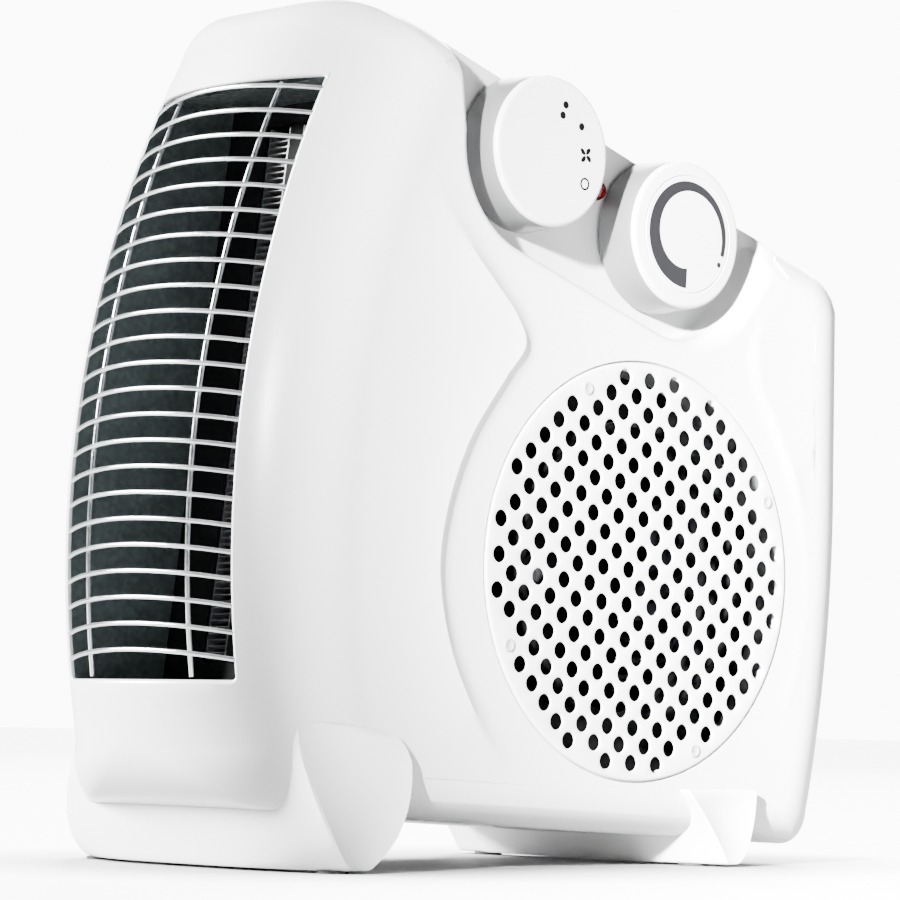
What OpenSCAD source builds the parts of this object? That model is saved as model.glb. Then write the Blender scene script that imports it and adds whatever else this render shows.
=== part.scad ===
// Upright fan heater with a ceramic (PTC) element: curved outlet guard in front,
// round intake grille and two knobs on the right side, two cross feet below.
// Millimetres. +Z up, +X towards the intake side, -Y towards the warm-air outlet.
// Origin: on the ground, below the middle of the heater.

/* [Casing] */
// Width across the flat sides
body_w = 114; // [100:1:140]
// Height of the top above the ground
body_h = 250; // [215:1:300]
// Depth from the middle of the outlet to the back
body_d = 246; // [225:1:300]
// Wall thickness
wall = 2.4; // [1.8:0.1:3]
// Height of the underside above the ground, below the middle
base_z = 11.5; // [9:0.5:16]
// Rise of the underside towards the front, in degrees
lean = 3; // [0:0.5:5]
// Distance of the joint of the two casing pieces from the middle plane
seam_x = 44; // [42:0.5:46]
// Slope of the top towards the back, in degrees
slope = 19.3; // [15:0.1:22]
// Clearance between pieces that are fitted together
gap = 0.3; // [0.2:0.05:0.5]

/* [Outlet] */
// Width of the outlet opening
outlet_w = 78; // [60:1:80]
// Height of the lower edge of the outlet above the ground
outlet_z = 51.5; // [48:0.5:60]
// Distance of the upper edge of the outlet below the top
outlet_drop = 24; // [22:0.5:30]
// Number of horizontal guard wires
wires = 23; // [15:1:25]
// Diameter of a guard wire
wire_d = 1.4; // [1.2:0.1:2]
// Upward tilt of each guard wire's bow
wire_tilt = 17; // [0:1:20]
// Distance of the two upright guard wires from the middle
upright_x = 23; // [15:1:28]

/* [Intake] */
// Diameter of the intake grille
grille_d = 124; // [100:1:128]
// Height of the grille's centre above the ground
grille_z = 87.6; // [80:0.1:92]
// Distance of the grille's centre from the back
grille_back = 97; // [90:0.5:100]
// Distance between neighbouring grille holes
hole_pitch = 7.29; // [6:0.01:9]
// Diameter of a grille hole
hole_d = 4.4; // [3:0.1:5]

/* [Controls] */
// Diameter of a knob at its base
knob_d = 46; // [38:0.5:48]
// Height of a knob
knob_h = 15; // [10:0.5:18]
// Distance between the two knob axes
knob_pitch = 59; // [56:0.5:64]
// Depth of the control recess below the side
recess = 14.5; // [10:0.5:18]
// Diameter of the two control spindles
spindle_d = 6; // [5:0.1:7]

/* [Feet] */
// Overall width of the feet
foot_w = 122; // [118:1:150]
// Height of the front foot's arms
foot_h = 43; // [36:1:50]
// Height of a rubber pad below its foot
pad_h = 0.8; // [0.5:0.1:2]

/* [Fan and heating] */
// Diameter of the impeller
impeller_d = 100; // [80:1:104]
// Width of the impeller
impeller_w = 30; // [20:1:31]
// Number of impeller blades
blades = 32; // [20:1:40]
// Diameter of the motor shaft
shaft_d = 5; // [4:0.1:6]
// Radial clearance of a turning shaft in its bearing
run_gap = 0.05; // [0.02:0.01:0.09]
// Width of one column of fins
fin_w = 9.5; // [8:0.5:10]
// Distance between neighbouring fins
fin_pitch = 1.9; // [1.5:0.1:3]
// Number of fin columns
fin_columns = 3; // [2:1:3]

/* [Hidden] */

$fn = 48;
half_w = body_w / 2;
front_y = -body_d / 2;
back_y = body_d / 2;

// Outline of the casing: the middle section and the flat side face
front_r = 305;
front_bulge_z = 92;
side_in_front = 36;
side_in_top = 18;
side_in_nose = 24;
side_in_back = 22;
side_in_base = 12;
back_r = 450;
back_bend_z = 115;
slope_y = front_y + 86.5;
slope_z = body_h - 9.3;
front_cy = front_y + front_r;
seam_gap = 0.05;

// Places that several pieces share
outlet_top = body_h - outlet_drop;
grille_y = back_y - grille_back;
grille_r = grille_d / 2;
seat_w = 1.8;
seat_t = 1.2;
floor_x = half_w - recess;
knob_r = knob_d / 2;
knob_drop = 22.4;
knob_s = 32.7;
recess_r = knob_r + 8.3;
liner_t = 1.2;
liner_x = outlet_w / 2 - gap;
ptc_lean = 7.5;
ptc_t = 15;
ptc_back = 32.5;
duct_x = floor_x - wall - 0.6;
plate_t = 1.6;
motor_x = -36;

function lerp(a, b, t) = a + (b - a) * t;
function unit(v) = v / norm(v);

// y of the curved front at height z; s is 0 in the middle plane and 1 on the side face
function front_at(z, s = 0) =
    front_cy - sqrt(pow(front_r - s * side_in_front, 2) - pow(z - front_bulge_z, 2));
// y of the back at height z
function back_at(z, s = 0) =
    back_y - s * side_in_back - (z < back_bend_z ? back_r - sqrt(back_r * back_r - pow(back_bend_z - z, 2)) : 0);
// z of the underside and of the sloping top at depth y
function base_at(y, s = 0) = base_z - tan(lean) * y + s * side_in_base;
function slope_at(y, s = 0) = slope_z - tan(slope) * (y - slope_y) - s * side_in_top / cos(slope);
// A point a distance along the sloping top and a distance below it
function on_slope(along, below) = [
    slope_y + along * cos(slope) - below * sin(slope),
    slope_z - along * sin(slope) - below * cos(slope)];

// Points of a rounded corner b between a and c, each with the edge width that the casing has there
function corner(a, b, c, r, w0, w1, n = 5) =
    let (u = unit(a - b), v = unit(c - b), half = acos(u * v) / 2,
        o = b + unit(u + v) * r / sin(half),
        p = b + u * r / tan(half) - o, q = b + v * r / tan(half) - o,
        a0 = atan2(p[1], p[0]), turn = atan2(q[1], q[0]) - a0,
        d = turn > 180 ? turn - 360 : turn < -180 ? turn + 360 : turn)
    [for (k = [0:n]) [o[0] + r * cos(a0 + d * k / n), o[1] + r * sin(a0 + d * k / n), lerp(w0, w1, k / n)]];

// Closed outline [y, z, width of the rounded edge along x]
edge_front = half_w - 1;
edge_top = 36;
edge_back = 22;
edge_base = 14;
function outline(s) =
    let (nose_z = body_h - s * side_in_nose,
        y_tail = back_at(base_at(back_y, s), s), tail = [y_tail, base_at(y_tail, s)],
        y_toe = front_at(base_at(front_y, s) + 4, s), toe = [y_toe, base_at(y_toe, s)],
        nose = [front_at(nose_z, s), nose_z],
        y_crest = max(nose[0] + 8, slope_y + (slope_at(slope_y, s) - nose_z) / tan(slope)),
        crest = [y_crest, slope_at(y_crest, s)],
        y_rear = back_y - s * side_in_back, rear = [y_rear, slope_at(y_rear, s)],
        r_toe = lerp(22, 10, s), r_nose = lerp(14, 5, s), r_crest = lerp(38, 12, s),
        r_rear = lerp(16, 8, s), r_tail = lerp(10, 5, s),
        z0 = toe[1] + 1.3 * r_toe, z1 = nose_z - 0.8 * r_nose, n_front = 13,
        front = [for (k = [0:n_front]) let (z = lerp(z0, z1, k / n_front)) [front_at(z, s), z, edge_front]],
        z2 = back_bend_z, z3 = tail[1] + 1.3 * r_tail, n_back = 4,
        back = [for (k = [0:n_back]) let (z = lerp(z2, z3, k / n_back)) [back_at(z, s), z, edge_back]],
        xy = function (p) [p[0], p[1]])
    concat(
        corner(xy(back[n_back]), tail, toe, r_tail, edge_back, edge_base),
        corner(tail, toe, xy(front[0]), r_toe, edge_base, edge_front, 6),
        front,
        corner(xy(front[n_front]), nose, crest, r_nose, edge_front, edge_top),
        corner(nose, crest, rear, r_crest, edge_top, edge_top, 3),
        corner(crest, rear, xy(back[0]), r_rear, edge_top, edge_back),
        back);

mid_line = outline(0);
side_line = outline(1);
n_line = len(mid_line);
n_ring = 6;

// Solid of the casing's outer form, made smaller by t all round (t below 0 makes it larger)
module body_form(t = 0) {
    rings = [for (k = [-n_ring:n_ring + 1])
        let (left = k > 0, turn = 90 * abs(left ? k - 1 : k) / n_ring)
        [for (i = [0:n_line - 1])
            let (m = [mid_line[i][0], mid_line[i][1]], e = [side_line[i][0], side_line[i][1]],
                inner = m + unit(e - m) * t, p = e + (inner - e) * cos(turn),
                w = mid_line[i][2] - t, x = half_w - t - w * (1 - sin(turn)))
            [left ? -x : x, p[0], p[1]]]];
    points = [for (ring = rings) each ring];
    last = 2 * n_ring + 1;
    polyhedron(points, concat(
        [for (k = [0:last - 1]) for (i = [0:n_line - 1])
            let (j = (i + 1) % n_line, a = k * n_line)
            each [[a + i, a + n_line + j, a + j], [a + i, a + n_line + i, a + n_line + j]]],
        [[for (i = [0:n_line - 1]) i]],
        [[for (i = [n_line - 1:-1:0]) last * n_line + i]]), convexity = 4);
}

// A child drawn in the YZ plane, as thick as from x0 to x1
module side_slab(x0, x1) {
    translate([x0, 0, 0]) rotate([90, 0, 90]) linear_extrude(x1 - x0) children();
}

// A bar or drill along x
module x_rod(x0, x1, y, z, r) {
    translate([x0, y, z]) rotate([0, 90, 0]) cylinder(h = x1 - x0, r = r);
}

// Round tube of radius r along a list of points
function tube_frame(p, i) =
    let (t = unit(p[min(i + 1, len(p) - 1)] - p[max(i - 1, 0)]),
        side = unit(cross(t, abs(t[2]) > 0.9 ? [1, 0, 0] : [0, 0, 1])))
    [side, cross(t, side)];
module tube(p, r, sides = 8) {
    n = len(p);
    points = [for (i = [0:n - 1]) let (f = tube_frame(p, i)) for (k = [0:sides - 1])
        p[i] + r * (f[0] * cos(360 * k / sides) + f[1] * sin(360 * k / sides))];
    polyhedron(points, concat(
        [for (i = [0:n - 2]) for (k = [0:sides - 1])
            let (a = i * sides + k, b = i * sides + (k + 1) % sides)
            each [[a, a + sides, b + sides], [a, b + sides, b]]],
        [[for (k = [0:sides - 1]) k]],
        [[for (k = [sides - 1:-1:0]) (n - 1) * sides + k]]));
}

// Points on a Catmull-Rom curve through the points p
function spline(p, n = 6) = concat(
    [for (i = [0:len(p) - 2]) for (k = [0:n - 1])
        let (t = k / n, a = p[max(i - 1, 0)], b = p[i], c = p[i + 1], d = p[min(i + 2, len(p) - 1)])
        0.5 * (2 * b + (c - a) * t + (2 * a - 5 * b + 4 * c - d) * t * t
            + (3 * b - a - 3 * c + d) * t * t * t)],
    [p[len(p) - 1]]);

// ---- Casing ----

knob_a = on_slope(knob_s, knob_drop);
knob_b = on_slope(knob_s + knob_pitch, knob_drop);

// Outline of the control recess, open at the top; grow widens it by a wall
module recess_outline(grow = 0) {
    r = recess_r + grow;
    across = -90 - slope;
    high = body_h + 20;
    polygon(concat(
        [[knob_a[0] - r - 6, high]],
        [for (k = [0:8]) let (a = lerp(175, 360 + across, k / 8)) knob_a + r * [cos(a), sin(a)]],
        [for (k = [0:8]) let (a = lerp(across, -30, k / 8)) knob_b + r * [cos(a), sin(a)]],
        [knob_b + r * [cos(-30), sin(-30)] + 20 * [cos(55), sin(55)],
            [knob_b[0] + r + 14, high]]));
}

screw_r = 1.75;
screw_len = 16;
boss_r = 3.6;
head_x = half_w - 8;
boss_at = [[front_y + 65, body_h - 17], [front_y + 43, base_at(front_y) + 20],
    [back_y - 31, slope_at(back_y) - 25], [back_y - 43, base_at(back_y) + 25]];
cover_x = -seam_x - seam_gap;
tip_y = -36;
tip_hole_r = 5;
bush_z = 30;
bush_r = 7;
bush_y = back_at(bush_z);
lamp_at = (knob_a + knob_b) / 2 + 4 * [sin(slope), cos(slope)] + 3 * [cos(slope), -sin(slope)];
lens_r = 3.2;

module main_shell() color("white") difference() {
    union() {
        difference() {
            body_form();
            side_slab(floor_x, half_w + 5) recess_outline();
            difference() {
                body_form(wall);
                side_slab(floor_x - wall, half_w + 6) recess_outline(wall);
            }
        }
        intersection() {
            body_form(wall / 2);
            union() for (p = foot_screw_at) translate([p[0], p[1], base_at(p[1])]) cylinder(h = 9, r = 4.4);
        }
    }
    for (p = foot_screw_at) translate([p[0], p[1], base_at(p[1]) - 2]) cylinder(h = 9, r = screw_r);
    translate([-body_w, -body_d, -1]) cube([body_w - seam_x, 2 * body_d, body_h + 20]);
    translate([-outlet_w / 2, front_y - 5, outlet_z])
        cube([outlet_w, front_at(outlet_top) + sag + 2 * wall + 3 - front_y + 5, outlet_top - outlet_z]);
    x_rod(half_w - wall - 1, half_w + 1, grille_y, grille_z, grille_r - seat_w);
    x_rod(half_w - seat_t, half_w + 1, grille_y, grille_z, grille_r + gap);
    for (p = [knob_a, knob_b]) x_rod(floor_x - wall - 1, floor_x + 1, p[0], p[1], spindle_d / 2 + 1);
    x_rod(floor_x - wall - 1, floor_x + 1, lamp_at[0], lamp_at[1], lens_r + gap / 3);
    translate([0, tip_y, 0]) cylinder(h = base_z + 10, r = tip_hole_r);
    translate([0, back_y - 30, bush_z]) rotate([-90, 0, 0]) cylinder(h = 40, r = bush_r);
}

// Posts that reach from the side wall to the joint, drilled for the casing screws
module screw_posts() color("white") difference() {
    intersection() {
        body_form(wall + 0.05);
        union() for (p = boss_at) x_rod(-seam_x, half_w, p[0], p[1], boss_r);
    }
    for (p = boss_at) x_rod(-seam_x - 1, -seam_x + screw_len, p[0], p[1], screw_r);
}

vent_n = 9;
vent_w = 3.2;
module left_cover() color("white") difference() {
    union() {
        difference() {
            body_form();
            body_form(wall);
        }
        intersection() {
            body_form(wall / 2);
            union() for (p = boss_at) x_rod(-half_w, cover_x, p[0], p[1], boss_r + 1.6);
        }
    }
    translate([cover_x, -body_d, -1]) cube([body_w, 2 * body_d, body_h + 20]);
    for (p = boss_at) {
        x_rod(-half_w - 1, cover_x + 1, p[0], p[1], screw_r + gap);
        x_rod(-half_w - 1, -head_x, p[0], p[1], 3.3);
    }
    for (k = [0:vent_n - 1])
        let (dz = (k - (vent_n - 1) / 2) * 9, half = sqrt(pow(grille_r - 18, 2) - dz * dz))
        translate([-half_w - 1, grille_y - half, grille_z + dz - vent_w / 2])
            cube([wall + 2, 2 * half, vent_w]);
}

module screw_shape(r, length, head_r, head_h) {
    cylinder(h = length, r = r - 0.02);
    translate([0, 0, -head_h]) difference() {
        cylinder(h = head_h, r = head_r);
        for (a = [0, 90]) rotate(a) translate([-head_r * 0.6, -0.45, -1])
            cube([head_r * 1.2, 0.9, head_h * 0.5 + 1]);
    }
}

module case_screws() color("gainsboro")
    for (p = boss_at) translate([-head_x, p[0], p[1]]) rotate([0, 90, 0])
        screw_shape(screw_r, head_x - seam_x + screw_len - 2, 3, 2.2);

// ---- Outlet guard ----

wire_r = wire_d / 2;
half_o = outlet_w / 2;
sag = side_in_front * (1 - sqrt(1 - pow(half_o / half_w, 2)));
bow_r = (half_o * half_o + sag * sag) / (2 * sag);
wire_end = asin((liner_x - liner_t / 2) / bow_r);
wire_set = 1.2;
wire_pitch = (outlet_top - outlet_z - 12) / (wires - 1);
function wire_z(k) = outlet_z + 7 + k * wire_pitch;

// Tilted bow: how far it comes forward and up at an upright, and forward at its ends
upright_in = bow_r - sqrt(bow_r * bow_r - upright_x * upright_x);
end_in = bow_r * (1 - cos(wire_end));
upright_rise = (end_in - upright_in) * sin(wire_tilt);

module outlet_wires() color("silver")
    for (k = [0:wires - 1])
        translate([0, front_at(wire_z(k) + upright_rise) + wire_set + upright_in + (end_in - upright_in) * cos(wire_tilt),
                wire_z(k)])
            rotate([-wire_tilt, 0, 0]) translate([0, bow_r - end_in, 0])
                rotate([0, 0, -90 - wire_end]) rotate_extrude(angle = 2 * wire_end, $fn = 96)
                    translate([bow_r, 0]) circle(r = wire_r, $fn = 16);

module outlet_uprights() color("silver")
    for (side = [-1, 1])
        let (r = front_r - wire_set - upright_in - wire_d - 0.05,
            a0 = asin((outlet_z + 2.2 - front_bulge_z) / r), a1 = asin((outlet_top - 2.2 - front_bulge_z) / r))
        translate([side * upright_x, front_cy, front_bulge_z])
            rotate([90, 0, -90]) rotate([0, 0, a0]) rotate_extrude(angle = a1 - a0, $fn = 360)
                translate([r, 0]) circle(r = wire_r, $fn = 16);

liner_z0 = outlet_z + gap;
liner_z1 = outlet_top - gap;
function ptc_y(z) = front_at(outlet_z) + sag + ptc_back + tan(ptc_lean) * (z - outlet_z);
module liner_section(inset) {
    n = 14;
    z0 = liner_z0 + inset;
    z1 = liner_z1 - inset;
    polygon(concat(
        [for (k = [0:n]) let (z = lerp(z0, z1, k / n)) [front_at(z) + sag + gap * 2 - inset * 4, z]],
        [[ptc_y(z1) - gap + inset * 4, z1], [ptc_y(z0) - gap + inset * 4, z0]]));
}
module outlet_liner() color([0.25, 0.29, 0.29]) difference() {
    side_slab(-liner_x, liner_x) liner_section(0);
    side_slab(-liner_x + liner_t, liner_x - liner_t) liner_section(liner_t);
}

// ---- Intake grille ----

grille_n = ceil(grille_r / hole_pitch);
tab_far = floor(grille_r / hole_pitch) - 0.5;
tab_near = tab_far - 5;
hole_limit = norm([tab_far, tab_near]) + 0.01;
grille_turn = 45 - lean;

// Places of the grille's square pattern, as [u, v] in hole pitches
lattice = [for (i = [-grille_n:grille_n]) for (j = [-grille_n:grille_n])
    let (p = [i + 0.5, j + 0.5]) if (norm(p) < hole_limit) p];
function is_tab(p) = max(abs(p[0]), abs(p[1])) == tab_far && min(abs(p[0]), abs(p[1])) == tab_near
    && (abs(p[0]) - abs(p[1])) * p[0] * p[1] < 0;
function lattice_y(p) = grille_y + hole_pitch * (p[0] * cos(grille_turn) - p[1] * sin(grille_turn));
function lattice_z(p) = grille_z + hole_pitch * (p[0] * sin(grille_turn) + p[1] * cos(grille_turn));

module intake_grille() color("white") {
    difference() {
        x_rod(half_w - seat_t, half_w + 0.6, grille_y, grille_z, grille_r);
        for (p = lattice) if (!is_tab(p))
            x_rod(half_w - seat_t - 1, half_w + 1, lattice_y(p), lattice_z(p), hole_d / 2, $fn = 24);
    }
    for (p = lattice) if (is_tab(p))
        x_rod(half_w, half_w + 1, lattice_y(p), lattice_z(p), 1.6);
}

// ---- Feet ----

foot_half = foot_w / 2;
foot_front = front_y + 21.5;
foot_back = foot_front + 36.5;
foot_plan = 36;
rear_y = back_y - 63;
foot_wall = 3;
foot_screw_x = 28;
front_screw_y = foot_front + 20;
rear_screw_y = rear_y + 1;
foot_screw_at = [for (y = [front_screw_y, rear_screw_y]) for (side = [-1, 1]) [side * foot_screw_x, y]];

// Plan of the front foot: a blunt curve in front, straight behind
module front_plan() {
    cy = foot_front + foot_plan;
    n = 28;
    polygon(concat(
        [for (k = [0:n]) let (a = 180 + 180 * k / n, c = cos(a), s = sin(a))
            [foot_half * sign(c) * sqrt(abs(c)), cy - foot_plan * sqrt(abs(s))]],
        [[foot_half, foot_back + 1], [-foot_half, foot_back + 1]]));
}
module front_side() {
    polygon([[foot_front, pad_h], [foot_front, foot_h - 0.5], [foot_front + 8, foot_h],
        [foot_front + 22, foot_h - 1.5], [foot_front + 32, foot_h - 5], [foot_back - 0.4, foot_h - 10],
        [foot_back, foot_h - 14], [foot_back - 1, foot_h * 0.43], [foot_back - 5, foot_h * 0.25],
        [foot_back - 13, 3], [foot_back - 17, pad_h]]);
}
module rear_side() {
    polygon([[rear_y - 16, 23], [rear_y - 4, 8], [rear_y - 4, pad_h], [rear_y + 6, pad_h],
        [rear_y + 10, 5], [rear_y + 13, 14], [rear_y + 12, 21], [rear_y + 4, 24]]);
}

module foot_holes() for (p = foot_screw_at) translate([p[0], p[1], -1]) {
    cylinder(h = base_z + 40, r = screw_r + gap);
    cylinder(h = base_at(p[1]) - 2.5 + 1, r = 4);
}

module front_foot() color("white") difference() {
    intersection() {
        side_slab(-foot_half, foot_half) front_side();
        linear_extrude(foot_h + 5) front_plan();
    }
    body_form(-gap / 2);
    translate([0, 0, -1]) linear_extrude(base_at(front_y + 50) - foot_wall) intersection() {
        offset(delta = -foot_wall) front_plan();
        translate([-foot_half + 13, foot_front]) square([foot_w - 26, 13.5]);
    }
    foot_holes();
}

module rear_foot() color("white") difference() {
    side_slab(-foot_half, foot_half) rear_side();
    body_form(-gap / 2);
    foot_holes();
}

pad_at = [for (side = [-1, 1]) each [[side * 53, foot_front + 14, 4.5], [side * 46, rear_y + 1, 4.4]]];
module foot_pads() color([0.15, 0.15, 0.15])
    for (p = pad_at) translate([p[0], p[1], 0]) cylinder(h = pad_h, r = p[2]);

foot_screw_len = 9;
module foot_screws() color("gainsboro")
    for (p = foot_screw_at) translate([p[0], p[1], base_at(p[1]) - 2.5])
        screw_shape(screw_r, foot_screw_len, 3, 2.2);

// ---- Controls ----

face_x = floor_x + 1 + knob_h;
knob_edge = 1.2;
knob_taper = 0.8;
spindle_r = spindle_d / 2;
press_gap = 0.02;

// A knob turned about x: tapered skirt, rounded edge, slightly domed face; dish is a raised inner disc
module knob(at, dish) translate([floor_x + 1, at[0], at[1]]) rotate([0, 90, 0]) difference() {
    rotate_extrude($fn = 96) polygon(concat(
        [[0, 0], [knob_r, 0]],
        [for (a = [0:15:90])
            [knob_r - knob_taper - knob_edge + knob_edge * cos(a), knob_h - knob_edge + knob_edge * sin(a)]],
        dish ? [[knob_r * 0.8, knob_h], [knob_r * 0.78, knob_h + 0.5], [0, knob_h + 0.5]]
            : [[knob_r * 0.5, knob_h + 0.4], [0, knob_h + 0.6]]));
    translate([0, 0, -1]) cylinder(h = knob_h - 2, r = spindle_r + press_gap);
    translate([0, 0, -1]) difference() {
        cylinder(h = knob_h - 1.5, r = knob_r - 2.4);
        cylinder(h = knob_h, r = spindle_r + 3);
    }
}
module mode_knob() color("white") knob(knob_a, false);
module heat_knob() color("white") knob(knob_b, true);

// A round control body behind the recess floor
control_len = 20;
control_x = floor_x - wall - gap;
module control_body(at, r, turns) difference() {
    union() {
        x_rod(control_x - control_len, control_x, at[0], at[1], r);
        for (k = turns) translate([control_x - control_len - 6, at[0], at[1]]) rotate([k, 0, 0])
            translate([0, -0.4, r - 6]) cube([7, 0.8, 4.8]);
    }
    x_rod(control_x - control_len + 5, control_x + 1, at[0], at[1], spindle_r + run_gap);
}
module mode_switch() color([0.2, 0.2, 0.22]) control_body(knob_a, 13.5, [45, 135, 225, 315]);
module thermostat() color([0.75, 0.72, 0.65]) control_body(knob_b, 12, [90, 270]);
module spindle(at)
    x_rod(control_x - control_len + 5.3, floor_x + knob_h - 2.2, at[0], at[1], spindle_r);
module mode_spindle() color("ivory") spindle(knob_a);
module heat_spindle() color("silver") spindle(knob_b);

module indicator_lens() color("red") {
    x_rod(floor_x - wall - 2, floor_x + 1.2, lamp_at[0], lamp_at[1], lens_r);
    translate([floor_x + 1.2, lamp_at[0], lamp_at[1]]) rotate([0, 90, 0]) rotate_extrude()
        polygon(concat([[0, -0.1], [lens_r - 0.1, -0.1]],
            [for (a = [0:15:90]) [(lens_r - 0.1) * cos(a), 2.4 * sin(a)]]));
}
module neon_lamp() color("orange")
    x_rod(floor_x - wall - 15, floor_x - wall - 2.2, lamp_at[0], lamp_at[1], 2.2);

// ---- Heating element ----

ptc_h = (outlet_top - outlet_z) / cos(ptc_lean);
ptc_w = 2 * (floor_x - wall - 3 * gap);
bar_w = 6;
core_w = fin_columns * fin_w + (fin_columns - 1) * bar_w;
end_h = 7;
core_h = ptc_h - 2 * end_h;
strip_t = 0.5;

module ptc_place()
    translate([0, ptc_y(outlet_z), outlet_z]) rotate([-ptc_lean, 0, 0]) children();
function column_x(k) = -core_w / 2 + k * (fin_w + bar_w);

module ptc_frame() color([0.09, 0.09, 0.1]) ptc_place() difference() {
    translate([-ptc_w / 2, 0, 0]) cube([ptc_w, ptc_t, ptc_h]);
    translate([-core_w / 2 - gap, -1, end_h]) cube([core_w + 2 * gap, ptc_t + 2, core_h]);
    for (side = [0, 1]) mirror([side, 0, 0]) translate([core_w / 2 + 2.5, 2.5, end_h])
        cube([ptc_w / 2 - core_w / 2 - 5, ptc_t, core_h]);
    for (k = [0:fin_columns - 2]) for (z = [-1, ptc_h - end_h - 1])
        translate([column_x(k) + fin_w + bar_w / 2 - 3.3, ptc_t / 2 - 0.6, z]) cube([6.6, 1.2, end_h + 2]);
}
module ptc_bars() color([0.14, 0.14, 0.15]) ptc_place()
    for (k = [0:fin_columns - 2])
        translate([column_x(k) + fin_w, 1, end_h + 0.5]) cube([bar_w, ptc_t - 2, core_h - 1]);
module ptc_fins() color("silver") ptc_place()
    for (k = [0:fin_columns - 1]) translate([column_x(k), 1, end_h + 1]) {
        for (side = [0, fin_w - strip_t]) translate([side, 0, 0]) cube([strip_t, ptc_t - 2, core_h - 2]);
        for (z = [0:fin_pitch:core_h - 3]) translate([0, 0, z]) cube([fin_w, ptc_t - 2, 0.3]);
    }
module ptc_terminals() color("gold") ptc_place()
    for (k = [0:fin_columns - 2])
        translate([column_x(k) + fin_w + bar_w / 2 - 3.15, ptc_t / 2 - 0.4, ptc_h - end_h + 0.2])
            cube([6.3, 0.8, end_h + 8]);

module thermal_cutout() color("silver") ptc_place()
    translate([core_w / 2 + 3 + 7, 2.6, ptc_h * 0.72]) rotate([-90, 0, 0]) {
        cylinder(h = 6, r = 6.5);
        for (side = [-1, 1]) translate([side * 4 - 0.4, -2.5, 6]) cube([0.8, 5, 6]);
    }
module thermal_fuse() color("silver") ptc_place()
    translate([-core_w / 2 - 10, 5, ptc_h * 0.6]) {
        cylinder(h = 13, r = 2.2);
        translate([0, 0, -8]) cylinder(h = 29, r = 0.5);
    }

// ---- Blower ----

impeller_r = impeller_d / 2;
volute_gap = 6;
volute_grow = 14;
tongue_a = 112;
volute_x = duct_x - plate_t;

// Path of the blower's curved wall: down behind the element's top, round the impeller, forward to its foot
volute_path = concat(
    [[ptc_y(outlet_top) + ptc_t + 1.5, outlet_top - 3]],
    [for (k = [0:24]) let (a = lerp(tongue_a, -90, k / 24),
        r = impeller_r + volute_gap + volute_grow * k / 24)
        [grille_y + r * cos(a), grille_z + r * sin(a)]],
    [[ptc_y(outlet_z) + ptc_t + 2.5, outlet_z + 2]]);
function path_normal(p, i) =
    let (t = unit(p[min(i + 1, len(p) - 1)] - p[max(i - 1, 0)])) [-t[1], t[0]];
volute_outer = [for (i = [0:len(volute_path) - 1])
    volute_path[i] + plate_t * path_normal(volute_path, i)];

module volute_wall() color([0.55, 0.57, 0.58])
    side_slab(-volute_x, volute_x)
        polygon(concat(volute_path, [for (i = [len(volute_path) - 1:-1:0]) volute_outer[i]]));
module plate_outline() polygon(volute_outer);

motor_half = 30;
module motor_plate() color([0.6, 0.62, 0.63]) difference() {
    side_slab(-duct_x, -volute_x) plate_outline();
    for (side = [-1, 1]) x_rod(-duct_x - 1, -volute_x + 1, grille_y + side * bolt_y, grille_z, bolt_r + 0.1);
    x_rod(-duct_x - 1, -volute_x + 1, grille_y, grille_z, 5);
}
eye_r = impeller_r - 7;
module inlet_plate() color([0.55, 0.57, 0.58]) {
    difference() {
        side_slab(volute_x, duct_x) plate_outline();
        x_rod(volute_x - 1, duct_x + 1, grille_y, grille_z, eye_r);
    }
    difference() {
        x_rod(duct_x, half_w - wall - 1, grille_y, grille_z, eye_r + plate_t);
        x_rod(duct_x - 1, half_w, grille_y, grille_z, eye_r);
    }
}

shaft_r = shaft_d / 2;
bolt_y = 25;
bolt_r = 1.5;
stator_x0 = -volute_x + 8;
stator_x1 = stator_x0 + 22;
bearing_t = 2;
boss_len = 5;
rotor_r = 12.6;
air_gap = 0.5;
wheel_x = stator_x1 + bearing_t + boss_len + 2;

module impeller() color([0.16, 0.16, 0.17]) difference() {
    union() {
        x_rod(wheel_x, wheel_x + 1.6, grille_y, grille_z, impeller_r);
        x_rod(wheel_x, wheel_x + 12, grille_y, grille_z, 7);
        difference() {
            x_rod(wheel_x + impeller_w - 2, wheel_x + impeller_w, grille_y, grille_z, impeller_r);
            x_rod(wheel_x, wheel_x + impeller_w + 1, grille_y, grille_z, impeller_r - 4);
        }
        for (k = [0:blades - 1]) translate([wheel_x + 1, grille_y, grille_z])
            rotate([360 * k / blades, 0, 0]) translate([0, impeller_r - 4, 0]) rotate([35, 0, 0])
                translate([0, -9, -0.6]) cube([impeller_w - 1.5, 11, 1.2]);
    }
    x_rod(wheel_x - 1, wheel_x + 13, grille_y, grille_z, shaft_r + press_gap);
}
module shaft() color("silver")
    x_rod(-volute_x + 0.5, wheel_x + 11, grille_y, grille_z, shaft_r);
module rotor() color([0.6, 0.6, 0.6]) difference() {
    x_rod(stator_x0 + 1, stator_x1 - 1, grille_y, grille_z, rotor_r);
    x_rod(stator_x0, stator_x1, grille_y, grille_z, shaft_r + press_gap);
}

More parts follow.
